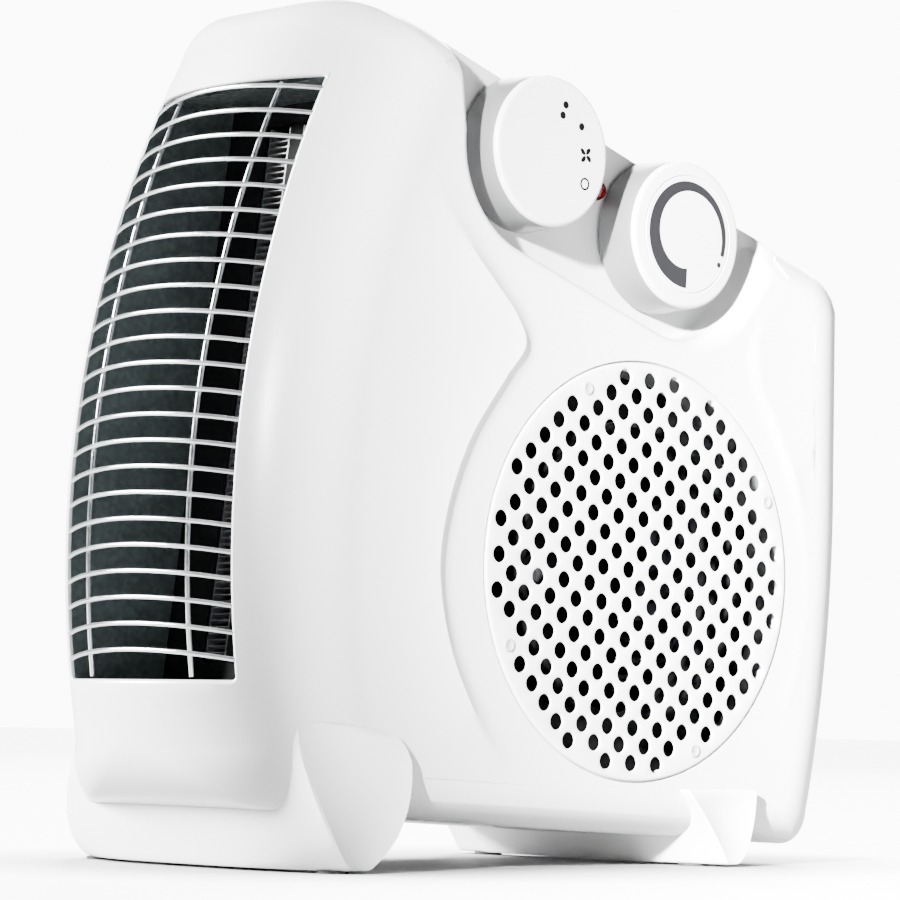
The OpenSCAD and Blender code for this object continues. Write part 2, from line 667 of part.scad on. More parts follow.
coil_z = grille_z - 25;
leg_h = 7;
module stator() color([0.5, 0.51, 0.53]) difference() {
    translate([stator_x0, grille_y - motor_half, grille_z - 30]) cube([22, 2 * motor_half, 50]);
    x_rod(stator_x0 - 1, stator_x1 + 1, grille_y, grille_z, rotor_r + air_gap);
    translate([stator_x0 - 1, grille_y - 19, grille_z - 30 + leg_h]) cube([24, 38, 8]);
    for (side = [-1, 1])
        x_rod(stator_x0 - 1, stator_x1 + 1, grille_y + side * bolt_y, grille_z, bolt_r + 0.1);
}
module motor_coil() color([0.75, 0.4, 0.15]) difference() {
    translate([stator_x0 - 5, grille_y - 17, grille_z - 36]) cube([32, 34, leg_h + 13.5]);
    translate([stator_x0 - gap, grille_y - 18, grille_z - 30 - gap]) cube([22 + 2 * gap, 36, leg_h + 2 * gap]);
}
module bearing(x0, x1) difference() {
    union() {
        translate([x0, grille_y - motor_half, grille_z - 6]) cube([bearing_t, 2 * motor_half, 12]);
        x_rod(x0, x1, grille_y, grille_z, 6);
    }
    x_rod(min(x0, x1) - 1, max(x0, x1) + 1, grille_y, grille_z, shaft_r + run_gap);
    for (side = [-1, 1])
        x_rod(x0 - 1, x0 + bearing_t + 1, grille_y + side * bolt_y, grille_z, bolt_r + 0.1);
}
module front_bearing() color("silver") bearing(stator_x1, stator_x1 + bearing_t + boss_len);
module rear_bearing() color("silver") difference() {
    union() {
        bearing(-volute_x + gap, -volute_x + gap + bearing_t + boss_len);
        for (side = [-1, 1])
            x_rod(-volute_x + gap, stator_x0, grille_y + side * bolt_y, grille_z, bolt_r + 2);
    }
    for (side = [-1, 1])
        x_rod(-volute_x - 1, stator_x0 + 1, grille_y + side * bolt_y, grille_z, bolt_r + 0.1);
}
module motor_screws() color("gainsboro")
    for (side = [-1, 1]) translate([stator_x1 + bearing_t, grille_y + side * bolt_y, grille_z])
        rotate([0, -90, 0]) screw_shape(bolt_r, stator_x1 + bearing_t + duct_x + 1, 2.8, 2);

// ---- Tip-over switch: the pin is pressed in while the heater stands ----

tip_r = 4.5;
tip_travel = 5;
stem_r = 2;
collar_z = base_at(tip_y) + wall + tip_travel + 0.6;
collar_h = 1.5;
spring_h = 5.5;
switch_z = collar_z + collar_h + spring_h;
switch_h = 7;
module tip_plunger() color([0.2, 0.2, 0.22]) translate([0, tip_y, 0]) {
    cylinder(h = collar_z, r = tip_r);
    translate([0, 0, collar_z]) cylinder(h = collar_h, r = tip_r + 2);
    translate([0, 0, collar_z + collar_h]) cylinder(h = spring_h + switch_h - 1, r = stem_r);
}
module tip_switch() color([0.2, 0.2, 0.22]) difference() {
    translate([-11, tip_y - 9, base_at(tip_y) + wall + 0.8])
        cube([22, 18, switch_z + switch_h - base_at(tip_y) - wall - 0.8]);
    translate([0, tip_y, 0]) cylinder(h = switch_z, r = tip_r + 2.4);
    translate([0, tip_y, 0]) cylinder(h = switch_z + switch_h + 1, r = stem_r + run_gap);
}
coil_turns = 5;
spring_r = 3.2;
spring_wire = 0.35;
module tip_spring() color("silver")
    tube([for (k = [0:coil_turns * 12]) let (a = k * 30)
        [spring_r * cos(a), tip_y + spring_r * sin(a),
            lerp(collar_z + collar_h + spring_wire, switch_z - spring_wire, k / (coil_turns * 12))]],
        spring_wire, 6);

// ---- Mains inlet ----

block_z = 52;
block_y = back_at(block_z) - wall - 1.5;
module terminal_block() color("ivory") difference() {
    translate([-22, block_y - 14, block_z]) cube([33, 14, 13]);
    for (k = [0:2]) translate([-16.5 + 11 * k, block_y - 7, block_z + 4]) cylinder(h = 10, r = 1.6);
}
cord_r = 3.7;
flange_y = back_at(bush_z + 10) + 0.1;
module cord_bush() color([0.16, 0.16, 0.17]) translate([0, 0, bush_z]) difference() {
    union() {
        translate([0, bush_y - 9, 0]) rotate([-90, 0, 0]) cylinder(h = flange_y - bush_y + 9.1, r = bush_r - 0.1);
        translate([0, flange_y, 0]) rotate([-90, 0, 0]) cylinder(h = 2.5, r = bush_r + 2.5);
    }
    translate([0, back_y - 40, 0]) rotate([-90, 0, 0]) cylinder(h = 60, r = cord_r);
}

// Routes of the leads from the terminal block to the switch, the thermostat and the element
lead_r = 1.1;
lead_start = [0, block_y - 7, block_z + 13.2];
lead_routes = [
    [[-16.5, 0, 0], [-18, -4, 40], [-16, -22, 80], [-8, -45, 104], [2, -75, 112], [8, -108, 128], [12, -116, 140]],
    [[-5.5, 0, 0], [-8, -4, 40], [-4, -24, 80], [2, -38, 104], [6, -50, 116], [10, -62, 121]]];
module supply_leads() color([0.35, 0.2, 0.12])
    for (route = lead_routes) tube(spline([for (p = route) lead_start + p], 5), lead_r);

main_shell();
left_cover();
screw_posts();
case_screws();
outlet_wires();
outlet_uprights();
outlet_liner();
intake_grille();
front_foot();
rear_foot();
foot_pads();
foot_screws();
mode_knob();
mode_switch();
mode_spindle();
heat_knob();
thermostat();
heat_spindle();
indicator_lens();
neon_lamp();
ptc_frame();
ptc_bars();
ptc_fins();
ptc_terminals();
thermal_cutout();
thermal_fuse();
volute_wall();
motor_plate();
inlet_plate();
impeller();
shaft();
rotor();
stator();
motor_coil();
front_bearing();
rear_bearing();
motor_screws();
tip_switch();
tip_plunger();
tip_spring();
terminal_block();
cord_bush();
supply_leads();
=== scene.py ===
"""Ceramic fan heater: finished casing, guard, grille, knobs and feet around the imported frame, in a plain studio."""
import math

import bmesh
import bpy
from mathutils import Matrix, Vector
from mathutils.bvhtree import BVHTree
from mathutils.geometry import delaunay_2d_cdt
from mathutils.kdtree import KDTree


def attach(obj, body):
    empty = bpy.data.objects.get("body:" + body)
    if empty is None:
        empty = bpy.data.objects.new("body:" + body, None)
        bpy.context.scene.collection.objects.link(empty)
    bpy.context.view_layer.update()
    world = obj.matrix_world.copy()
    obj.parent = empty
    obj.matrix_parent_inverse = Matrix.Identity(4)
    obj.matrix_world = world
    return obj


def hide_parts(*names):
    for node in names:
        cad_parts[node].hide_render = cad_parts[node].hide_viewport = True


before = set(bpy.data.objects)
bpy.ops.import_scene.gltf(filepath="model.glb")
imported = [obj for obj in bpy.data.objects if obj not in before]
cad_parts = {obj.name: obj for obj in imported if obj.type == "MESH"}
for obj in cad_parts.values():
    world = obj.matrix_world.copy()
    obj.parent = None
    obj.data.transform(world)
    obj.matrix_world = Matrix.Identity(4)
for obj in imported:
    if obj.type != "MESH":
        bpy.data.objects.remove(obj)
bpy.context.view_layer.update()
MM = 0.001

# ---- Sizes of the casing, in millimetres (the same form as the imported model's) ----

HALF_W, BODY_H, FRONT_Y, BACK_Y = 57.0, 250.0, -123.0, 123.0
WALL = 2.4
LEAN, SLOPE = math.radians(3.0), math.radians(19.3)
FRONT_R, BULGE_Z = 305.0, 92.0
FRONT_CY = FRONT_Y + FRONT_R
SLOPE_Y, SLOPE_Z = FRONT_Y + 86.5, BODY_H - 9.3
SIDE_IN = {"front": 36.0, "top": 18.0, "nose": 24.0, "back": 22.0, "base": 12.0}
EDGE = {"front": HALF_W - 1, "top": 36.0, "back": 22.0, "base": 14.0}
BACK_R, BACK_BEND_Z, BASE_Z = 450.0, 115.0, 11.5
SEAM_X = 44.0
FLOOR_X = 42.5
OUTLET_HALF, OUTLET_Z0, OUTLET_Z1 = 39.0, 51.5, 226.0
GRILLE = Vector((26.0, 87.6))
GRILLE_R = 62.0
SEAT_X = HALF_W - 1.9
KNOB_A = Vector((-13.04, 208.75))
KNOB_B = Vector((42.64, 189.25))
KNOB_R, KNOB_H = 23.0, 15.0
LAMP = Vector((18.95, 201.79))


def lerp(a, b, t):
    return a + (b - a) * t


def smooth(t):
    t = min(max(t, 0.0), 1.0)
    return t * t * (3 - 2 * t)


def front_at(z, s=0.0):
    return FRONT_CY - math.sqrt((FRONT_R - s * SIDE_IN["front"]) ** 2 - (z - BULGE_Z) ** 2)


def back_at(z, s=0.0):
    bend = BACK_R - math.sqrt(BACK_R**2 - (BACK_BEND_Z - z) ** 2) if z < BACK_BEND_Z else 0.0
    return BACK_Y - s * SIDE_IN["back"] - bend


def base_at(y, s=0.0):
    return BASE_Z - math.tan(LEAN) * y + s * SIDE_IN["base"]


def slope_at(y, s=0.0):
    return SLOPE_Z - math.tan(SLOPE) * (y - SLOPE_Y) - s * SIDE_IN["top"] / math.cos(SLOPE)


def corner(a, b, c, r, w0, w1, n):
    """Points of a rounded corner b between a and c, each with its edge width."""
    a, b, c = Vector(a), Vector(b), Vector(c)
    u, v = (a - b).normalized(), (c - b).normalized()
    half = math.acos(max(-1, min(1, u.dot(v)))) / 2
    o = b + (u + v).normalized() * r / math.sin(half)
    p, q = b + u * r / math.tan(half) - o, b + v * r / math.tan(half) - o
    a0 = math.atan2(p.y, p.x)
    turn = (math.atan2(q.y, q.x) - a0 + math.pi) % (2 * math.pi) - math.pi
    return [(o.x + r * math.cos(a0 + turn * k / n), o.y + r * math.sin(a0 + turn * k / n),
             lerp(w0, w1, k / n))
            for k in range(n + 1)]


def outline(s):
    """Closed outline (y, z, width of the rounded edge) at the middle, s 0, or on the side face, s 1."""
    nose_z = BODY_H - s * SIDE_IN["nose"]
    y_tail = back_at(base_at(BACK_Y, s), s)
    tail = (y_tail, base_at(y_tail, s))
    y_toe = front_at(base_at(FRONT_Y, s) + 4, s)
    toe = (y_toe, base_at(y_toe, s))
    nose = (front_at(nose_z, s), nose_z)
    y_crest = max(nose[0] + 8, SLOPE_Y + (slope_at(SLOPE_Y, s) - nose_z) / math.tan(SLOPE))
    crest = (y_crest, slope_at(y_crest, s))
    y_rear = BACK_Y - s * SIDE_IN["back"]
    rear = (y_rear, slope_at(y_rear, s))
    r_toe, r_nose, r_crest = lerp(22, 10, s), lerp(14, 5, s), lerp(38, 12, s)
    r_rear, r_tail = lerp(16, 8, s), lerp(10, 5, s)
    front = [(front_at(z, s), z, EDGE["front"]) for z in
             (lerp(toe[1] + 1.3 * r_toe, nose_z - 0.8 * r_nose, k / 60) for k in range(61))]
    back = [(back_at(z, s), z, EDGE["back"]) for z in
            (lerp(BACK_BEND_Z, tail[1] + 1.3 * r_tail, k / 16) for k in range(17))]
    return (corner(back[-1][:2], tail, toe, r_tail, EDGE["back"], EDGE["base"], 10)
            + corner(tail, toe, front[0][:2], r_toe, EDGE["base"], EDGE["front"], 14) + front
            + corner(front[-1][:2], nose, crest, r_nose, EDGE["front"], EDGE["top"], 12)
            + corner(nose, crest, rear, r_crest, EDGE["top"], EDGE["top"], 12)
            + corner(crest, rear, back[0][:2], r_rear, EDGE["top"], EDGE["back"], 10) + back)


MIDDLE, SIDE = outline(0.0), outline(1.0)

# ---- Mesh tools ----


def mesh_object(name, verts, faces, material=None, shade=True):
    """A mesh object from points in millimetres."""
    mesh = bpy.data.meshes.new(name)
    mesh.from_pydata([tuple(c * MM for c in v) for v in verts], [], faces)
    mesh.validate()
    bm = bmesh.new()
    bm.from_mesh(mesh)
    bmesh.ops.remove_doubles(bm, verts=bm.verts, dist=1e-7)
    bmesh.ops.recalc_face_normals(bm, faces=bm.faces)
    bm.to_mesh(mesh)
    bm.free()
    obj = bpy.data.objects.new(name, mesh)
    bpy.context.collection.objects.link(obj)
    if material:
        mesh.materials.append(material)
    if shade:
        shade_by_angle(obj)
    return obj


def shade_by_angle(obj, degrees=32.0):
    """Smooth shading, with edges sharper than an angle kept sharp."""
    mesh = obj.data
    bm = bmesh.new()
    bm.from_mesh(mesh)
    limit = math.radians(degrees)
    for face in bm.faces:
        face.smooth = True
    for edge in bm.edges:
        edge.smooth = len(edge.link_faces) != 2 or edge.calc_face_angle(0.0) < limit
    bm.to_mesh(mesh)
    bm.free()


def tube_of_rings(rings, caps=True, closed=False):
    """Quads between equal rings of points, with a cap on each end."""
    n = len(rings[0])
    verts = [p for ring in rings for p in ring]
    faces = []
    last = len(rings) if closed else len(rings) - 1
    for k in range(last):
        a, b = k * n, (k + 1) % len(rings) * n
        faces += [(a + i, a + (i + 1) % n, b + (i + 1) % n, b + i) for i in range(n)]
    if caps and not closed:
        faces += [tuple(range(n)), tuple(range((len(rings) - 1) * n, len(rings) * n))[::-1]]
    return verts, faces


def lathe(name, profile, x0, centre, material=None, segments=96):
    """A turned piece about x: profile is (radius, distance along x) from axis to axis."""
    rings = []
    for r, dx in profile:
        rings.append([(x0 + dx, centre[0] + r * math.cos(a), centre[1] + r * math.sin(a))
                      for a in (2 * math.pi * k / segments for k in range(segments))])
    verts, faces = tube_of_rings(rings, caps=False)
    n = segments
    if profile[0][0] > 1e-6:
        faces.append(tuple(range(n)))
    if profile[-1][0] > 1e-6:
        faces.append(tuple(range((len(rings) - 1) * n, len(rings) * n))[::-1])
    return mesh_object(name, verts, faces, material)


def cut(target, *tools):
    """Takes closed tool meshes away from a closed mesh."""
    for tool in tools:
        mod = target.modifiers.new("cut", "BOOLEAN")
        mod.operation, mod.solver, mod.object = "DIFFERENCE", "MANIFOLD", tool
        dg = bpy.context.evaluated_depsgraph_get()
        made = bpy.data.meshes.new_from_object(target.evaluated_get(dg))
        target.modifiers.clear()
        if len(made.polygons) < 4:
            raise RuntimeError("nothing is left of " + target.name + " after " + tool.name)
        target.data = made
    for tool in tools:
        bpy.data.objects.remove(tool)
    return target


def prism_x(name, points, x0, x1):
    """A closed slab from a yz outline, from x0 to x1."""
    return mesh_object(name, *tube_of_rings([[(x, p[0], p[1]) for p in points] for x in (x0, x1)]),
                       shade=False)


def round_cut(name, centre, profile, axis="x", segments=64):
    """A turned cutting tool: profile is (radius, place along the axis)."""
    rings = []
    for r, d in profile:
        ring = []
        for k in range(segments):
            c, s = r * math.cos(2 * math.pi * k / segments), r * math.sin(2 * math.pi * k / segments)
            ring.append({"x": (d, centre[0] + c, centre[1] + s), "y": (centre[0] + c, d, centre[1] + s),
                         "z": (centre[0] + c, centre[1] + s, d)}[axis])
        rings.append(ring)
    return mesh_object(name, *tube_of_rings(rings), shade=False)


def box_cut(name, low, high):
    rings = [[(x, low[1], low[2]), (x, high[1], low[2]), (x, high[1], high[2]), (x, low[1], high[2])]
             for x in (low[0], high[0])]
    return mesh_object(name, *tube_of_rings(rings), shade=False)


def curve_through(points, step):
    """A smooth curve through 2D points, sampled about every step."""
    out = []
    for i in range(len(points) - 1):
        a, b = points[max(i - 1, 0)], points[i]
        c, d = points[i + 1], points[min(i + 2, len(points) - 1)]
        n = max(2, round(math.dist(b, c) / step))
        for k in range(n):
            t = k / n
            out.append(tuple(0.5 * (2 * b[j] + (c[j] - a[j]) * t + (2 * a[j] - 5 * b[j] + 4 * c[j] - d[j]) * t * t
                                    + (3 * b[j] - a[j] - 3 * c[j] + d[j]) * t**3) for j in (0, 1)))
    return out + [tuple(points[-1])]


# ---- Casing form ----

RINGS = 18


def form_ring(turn, left, t=0.0):
    """One ring of the casing's form made smaller by t: turn 0 at the middle, 90 degrees on the side face."""
    ring = []
    for (my, mz, w), (ey, ez, _) in zip(MIDDLE, SIDE):
        m, e = Vector((my, mz)), Vector((ey, ez))
        inner = m + (e - m).normalized() * t
        p = e + (inner - e) * math.cos(turn)
        x = HALF_W - t - (w - t) * (1 - math.sin(turn))
        ring.append((-x if left else x, p.x, p.y))
    return ring


def form_rings(t, count):
    turns = [math.pi / 2 * k / count for k in range(count + 1)]
    return [form_ring(a, False, t) for a in turns[::-1]] + [form_ring(a, True, t) for a in turns]


# The two soft steps beside the intake: points down the side face, height of the step and its run-out
STEP_LEFT = [(-61, 201), (-52.5, 188.5), (-43.5, 177.2), (-34, 167.2), (-26.6, 159.5), (-23.2, 151),
             (-31.1, 140.7),
             (-44.2, 122.6), (-52.5, 102), (-54.6, 82.4), (-48.8, 59.9), (-36.6, 40.2), (-22.8, 26.6)]
STEP_RIGHT = [(86, 176), (77, 165), (74.1, 155), (76, 146), (83.3, 133.1), (94.0, 112.2), (98.5, 90.9),
              (95.8, 66.1),
              (87, 41.5)]


def step_field(points, height, run, grille_sign):
    """Height added to the side face by one step, as a function of (y, z)."""
    line = curve_through(points, 0.5)
    tree = KDTree(len(line))
    for i, p in enumerate(line):
        tree.insert((p[0], p[1], 0), i)
    tree.balance()
    last = len(line) - 1

    def at(y, z):
        _, i, _ = tree.find((y, z, 0))
        p, q = line[max(i - 1, 0)], line[min(i + 1, last)]
        t = Vector((q[0] - p[0], q[1] - p[1])).normalized()
        v = Vector((y - line[i][0], z - line[i][1]))
        d = (t.x * v.y - t.y * v.x) * grille_sign
        d = math.copysign(v.length, d) if i in (0, last) else d
        fade = smooth(i / last / 0.22) * smooth((1 - i / last) / 0.18)
        if d < 0:
            return height * fade * math.exp(d / 16.0)
        return height * fade * max(0.0, 1 - d / run) ** 2.6

    return at, line


left_step, left_line = step_field(STEP_LEFT, 2.1, 7.5, 1.0)
right_step, right_line = step_field(STEP_RIGHT, 0.9, 4.5, -1.0)


def side_face(name_rings):
    """Triangles of the right side face, raised along the two steps."""
    edge = [(p[1], p[2]) for p in name_rings]
    n = len(edge)
    tree = KDTree(n)
    for i, p in enumerate(edge):
        tree.insert((p[0], p[1], 0), i)
    tree.balance()
    points, links = [Vector(p) for p in edge], [(i, (i + 1) % n) for i in range(n)]
    poly = edge

    def inside(y, z):
        hit = False
        for i in range(n):
            (y0, z0), (y1, z1) = poly[i], poly[(i + 1) % n]
            if (z0 > z) != (z1 > z) and y < (y1 - y0) * (z - z0) / (z1 - z0) + y0:
                hit = not hit
        return hit

    line_tree = KDTree(len(left_line) + len(right_line))
    for i, p in enumerate(left_line + right_line):
        line_tree.insert((p[0], p[1], 0), i)
    line_tree.balance()
    for line in (left_line, right_line):
        first = len(points)
        kept = [p for p in line[::3] if inside(*p) and tree.find((p[0], p[1], 0))[2] > 1.5]
        points += [Vector(p) for p in kept]
        links += [(first + i, first + i + 1) for i in range(len(kept) - 1)]
    pitch = 1.7
    for j in range(int(230 / pitch)):
        z = 18 + j * pitch
        for i in range(int(200 / pitch)):
            y = -90 + (i + 0.5 * (j % 2)) * pitch
            if tree.find((y, z, 0))[2] > 1.0 and line_tree.find((y, z, 0))[2] > 0.9 and inside(y, z):
                points.append(Vector((y, z)))
    verts, _, faces = delaunay_2d_cdt(points, links, [], 1, 1e-5)[:3]
    out = []
    for v in verts:
        near = tree.find((v.x, v.y, 0))[2]
        lift = (left_step(v.x, v.y) + right_step(v.x, v.y)) * smooth(near / 12.0)
        out.append((HALF_W + lift, v.x, v.y))
    return out, [tuple(f) for f in faces]


def casing_form(t=0.0, count=RINGS, steps=False):
    rings = form_rings(t, count)
    verts, faces = tube_of_rings(rings)
    if steps:
        faces = faces[:-2] + faces[-1:]
        more, tris = side_face(rings[0])
        faces += [tuple(len(verts) + i for i in f) for f in tris]
        verts += more
    return mesh_object("casing_form", verts, faces, shade=False)


def tree_of(obj):
    bm = bmesh.new()
    bm.from_mesh(obj.data)
    tree = BVHTree.FromBMesh(bm)
    bm.free()
    return tree


def arc(centre, r, a0, a1, n):
    return [(centre[0] + r * math.cos(math.radians(lerp(a0, a1, k / n))),
             centre[1] + r * math.sin(math.radians(lerp(a0, a1, k / n)))) for k in range(n + 1)]


def offset_line(points, amounts):
    """A closed outline moved out along its normals, by an amount for each point."""
    n = len(points)
    area = sum(points[i][0] * points[(i + 1) % n][1] - points[(i + 1) % n][0] * points[i][1] for i in range(n))
    turn = 1 if area > 0 else -1
    out = []
    for i, p in enumerate(points):
        a, b = Vector(points[i - 1]), Vector(points[(i + 1) % n])
        t = (b - a).normalized()
        out.append((p[0] + turn * t.y * amounts[i], p[1] - turn * t.x * amounts[i]))
    return out


RECESS_R = KNOB_R + 8.3


def recess_line(grow=0.0):
    across = -90 - math.degrees(SLOPE)
    r = RECESS_R + grow
    end = (KNOB_B[0] + r * math.cos(math.radians(-30)), KNOB_B[1] + r * math.sin(math.radians(-30)))
    out = (end[0] + 20 * math.cos(math.radians(55)), end[1] + 20 * math.sin(math.radians(55)))
    left_top = (KNOB_A[0] - r - 6, 270.0)
    arc_a = arc(KNOB_A, r, 175, 360 + across, 40)
    rise = [(lerp(left_top[0], arc_a[0][0], k / 30),
             lerp(left_top[1], arc_a[0][1], k / 30)) for k in range(30)]
    arc_b = arc(KNOB_B, r, across, -30, 40)
    flat = [(lerp(arc_a[-1][0], arc_b[0][0], k / 20),
             lerp(arc_a[-1][1], arc_b[0][1], k / 20)) for k in range(1, 20)]
    right_top = (KNOB_B[0] + r + 14, 270.0)
    leave = [(lerp(arc_b[-1][0], out[0], k / 12), lerp(arc_b[-1][1], out[1], k / 12)) for k in range(1, 13)]
    climb = [(lerp(out[0], right_top[0], k / 20), lerp(out[1], right_top[1], k / 20)) for k in range(1, 21)]
    return rise + arc_a + flat + arc_b + leave + climb


def recess_tool(tree):
    """The control recess, with a rounded floor edge and a rolled upper edge that is wider towards the back."""
    line = recess_line()
    n = len(line)
    lips, tops = [], []
    for i, (y, z) in enumerate(line):
        lip = lerp(2.6, 7.0, smooth((y - 30) / 45))
        hit = tree.ray_cast(Vector((0.1, y * MM, z * MM)), Vector((-1, 0, 0)))
        lips.append(lip)
        tops.append(hit[0].x / MM if hit[0] is not None and hit[0].x / MM > FLOOR_X + 2 else FLOOR_X + 5)
    fillet = 3.2
    rings = []
    for k in range(7):
        a = math.pi / 2 * k / 6
        moved = offset_line(line, [-fillet * (1 - math.sin(a))] * n)
        rings.append([(FLOOR_X + fillet * (1 - math.cos(a)), p[0], p[1]) for p in moved])
    for k in range(9):
        a = math.radians(80) * k / 8
        moved = offset_line(line, [lip * (1 - math.cos(a)) for lip in lips])
        rings.append([(max(FLOOR_X + fillet + 0.01 * (k + 1), top - lip + lip * math.sin(a)), p[0], p[1])
                      for p, top, lip in zip(moved, tops, lips)])
    reach = [lip * (1 - math.cos(math.radians(80))) + (5.7 if top > HALF_W - 2 else 0.0)
             for lip, top in zip(lips, tops)]
    moved = offset_line(line, reach)
    rings.append([(top + 1.0, p[0], p[1]) for p, top in zip(moved, tops)])
    rings.append([(75.0, p[0], p[1]) for p in moved])
    return mesh_object("recess_tool", *tube_of_rings(rings), shade=False)


def outlet_tool(tree):
    """The outlet opening, with a small rolled edge that follows the curved front."""
    r, lip = 2.5, 1.3
    corners = [((OUTLET_HALF - r, OUTLET_Z1 - r), 0), ((-OUTLET_HALF + r, OUTLET_Z1 - r), 90),
               ((-OUTLET_HALF + r, OUTLET_Z0 + r), 180), ((OUTLET_HALF - r, OUTLET_Z0 + r), 270)]
    line = []
    for (c, a0), (nxt, a1) in zip(corners, corners[1:] + corners[:1]):
        bend = arc(c, r, a0, a0 + 90, 5)
        line += bend
        end = (nxt[0] + r * math.cos(math.radians(a1)), nxt[1] + r * math.sin(math.radians(a1)))
        steps = max(2, round(math.dist(bend[-1], end) / 3))
        line += [(lerp(bend[-1][0], end[0], k / steps),
                  lerp(bend[-1][1], end[1], k / steps)) for k in range(1, steps)]
    n = len(line)

    def surface(p):
        hit = tree.ray_cast(Vector((p[0] * MM, -0.2, p[1] * MM)), Vector((0, 1, 0)))
        return hit[0].y / MM

    over = 1.3
    inner = offset_line(line, [-over] * n)
    rings = [[(p[0], -74.0, p[1]) for p in line], [(p[0], surface(p) + 2.0, p[1]) for p in line],
             [(p[0], surface(p) + 2.0, p[1]) for p in inner]]
    for k in range(7):
        a = math.radians(78) * k / 6
        moved = offset_line(line, [lip * (1 - math.cos(a)) - over] * n)
        rings.append([(p[0], surface(p) + lip * (1 - math.sin(a)), p[1]) for p in moved])
    moved = offset_line(line, [lip + 3.0 - over] * n)
    rings.append([(p[0], surface(q) - 1.2, p[1]) for p, q in zip(moved, line)])
    rings.append([(p[0], -150.0, p[1]) for p in moved])
    return mesh_object("outlet_tool", *tube_of_rings(rings), shade=False)


def lens_tool(x_in):
    return round_cut("lens_hole", LAMP, [(3.35, x_in), (3.35, FLOOR_X + 2)])


# ---- Materials ----


def group(name, inputs, outputs):
    tree = bpy.data.node_groups.new(name, "ShaderNodeTree")
    for label, kind, value in inputs:
        socket = tree.interface.new_socket(label, in_out="INPUT", socket_type=kind)
        socket.default_value = value
    for label, kind in outputs:
        tree.interface.new_socket(label, in_out="OUTPUT", socket_type=kind)
    return tree, tree.nodes.new("NodeGroupInput"), tree.nodes.new("NodeGroupOutput")


def node(tree, kind, **values):
    made = tree.nodes.new(kind)
    for key, value in values.items():
        if hasattr(made, key) and not isinstance(value, (bpy.types.NodeSocket, dict)):
            setattr(made, key, value)
    return made


def wire(tree, source, target):
    tree.links.new(source, target)


def math_node(tree, op, a, b=None, clamp=False):
    made = tree.nodes.new("ShaderNodeMath")
    made.operation, made.use_clamp = op, clamp
    for slot, value in ((0, a), (1, b)):
        if value is None:
            continue
        if isinstance(value, (int, float)):
            made.inputs[slot].default_value = value
        else:
            tree.links.new(value, made.inputs[slot])
    return made.outputs[0]


def noise_node(tree, coords, scale, detail=3.0, rough=0.5):
    made = tree.nodes.new("ShaderNodeTexNoise")
    tree.links.new(coords, made.inputs["Vector"])
    if isinstance(scale, (int, float)):
        made.inputs["Scale"].default_value = scale
    else:
        tree.links.new(scale, made.inputs["Scale"])
    made.inputs["Detail"].default_value = detail
    made.inputs["Roughness"].default_value = rough
    return made.outputs["Fac"]


def map_range(tree, value, a, b, c, d):
    made = tree.nodes.new("ShaderNodeMapRange")
    tree.links.new(value, made.inputs["Value"])
    for label, v in (("From Min", a), ("From Max", b), ("To Min", c), ("To Max", d)):
        if isinstance(v, (int, float)):
            made.inputs[label].default_value = v
        else:
            tree.links.new(v, made.inputs[label])
    return made.outputs["Result"]


def mix_colour(tree, factor, a, b):
    made = tree.nodes.new("ShaderNodeMix")
    made.data_type = "RGBA"
    for slot, value in ((0, factor), (6, a), (7, b)):
        if isinstance(value, (int, float)):
            made.inputs[slot].default_value = value
        elif isinstance(value, tuple):
            made.inputs[slot].default_value = (*value, 1.0)
        else:
            tree.links.new(value, made.inputs[slot])
    return made.outputs[2]


FLOAT, COLOUR, NORMAL = "NodeSocketFloat", "NodeSocketColor", "NodeSocketVector"


def moulded_grain_group():
    """Fine moulding texture: slow shade drift, satin roughness and a spark-eroded grain."""
    tree, inp, out = group("moulded_grain", [("Colour", COLOUR, (0.8, 0.8, 0.8, 1)), ("Drift", FLOAT, 0.03),
                                             ("Roughness", FLOAT, 0.35), ("Spread", FLOAT, 0.06),
                                             ("Grain Scale", FLOAT, 1600.0)],
                           [("Colour", COLOUR), ("Roughness", FLOAT), ("Height", FLOAT)])
    coords = node(tree, "ShaderNodeTexCoord").outputs["Object"]
    slow = noise_node(tree, coords, 14.0, 3.0, 0.55)
    fine = noise_node(tree, coords, inp.outputs["Grain Scale"], 2.0, 0.6)
    low = math_node(tree, "SUBTRACT", 1.0, inp.outputs["Drift"])
    shade = map_range(tree, slow, 0.3, 0.7, low, 1.0)
    hsv = node(tree, "ShaderNodeHueSaturation")
    wire(tree, shade, hsv.inputs["Value"])
    wire(tree, inp.outputs["Colour"], hsv.inputs["Color"])
    wire(tree, hsv.outputs["Color"], out.inputs["Colour"])
    rub = noise_node(tree, coords, 90.0, 4.0, 0.6)
    swing = math_node(tree, "MULTIPLY", math_node(tree, "SUBTRACT", rub, 0.5), inp.outputs["Spread"])
    wire(tree, math_node(tree, "ADD", inp.outputs["Roughness"], math_node(tree, "MULTIPLY", swing, 2.0)),
         out.inputs["Roughness"])
    wire(tree, fine, out.inputs["Height"])
    return tree


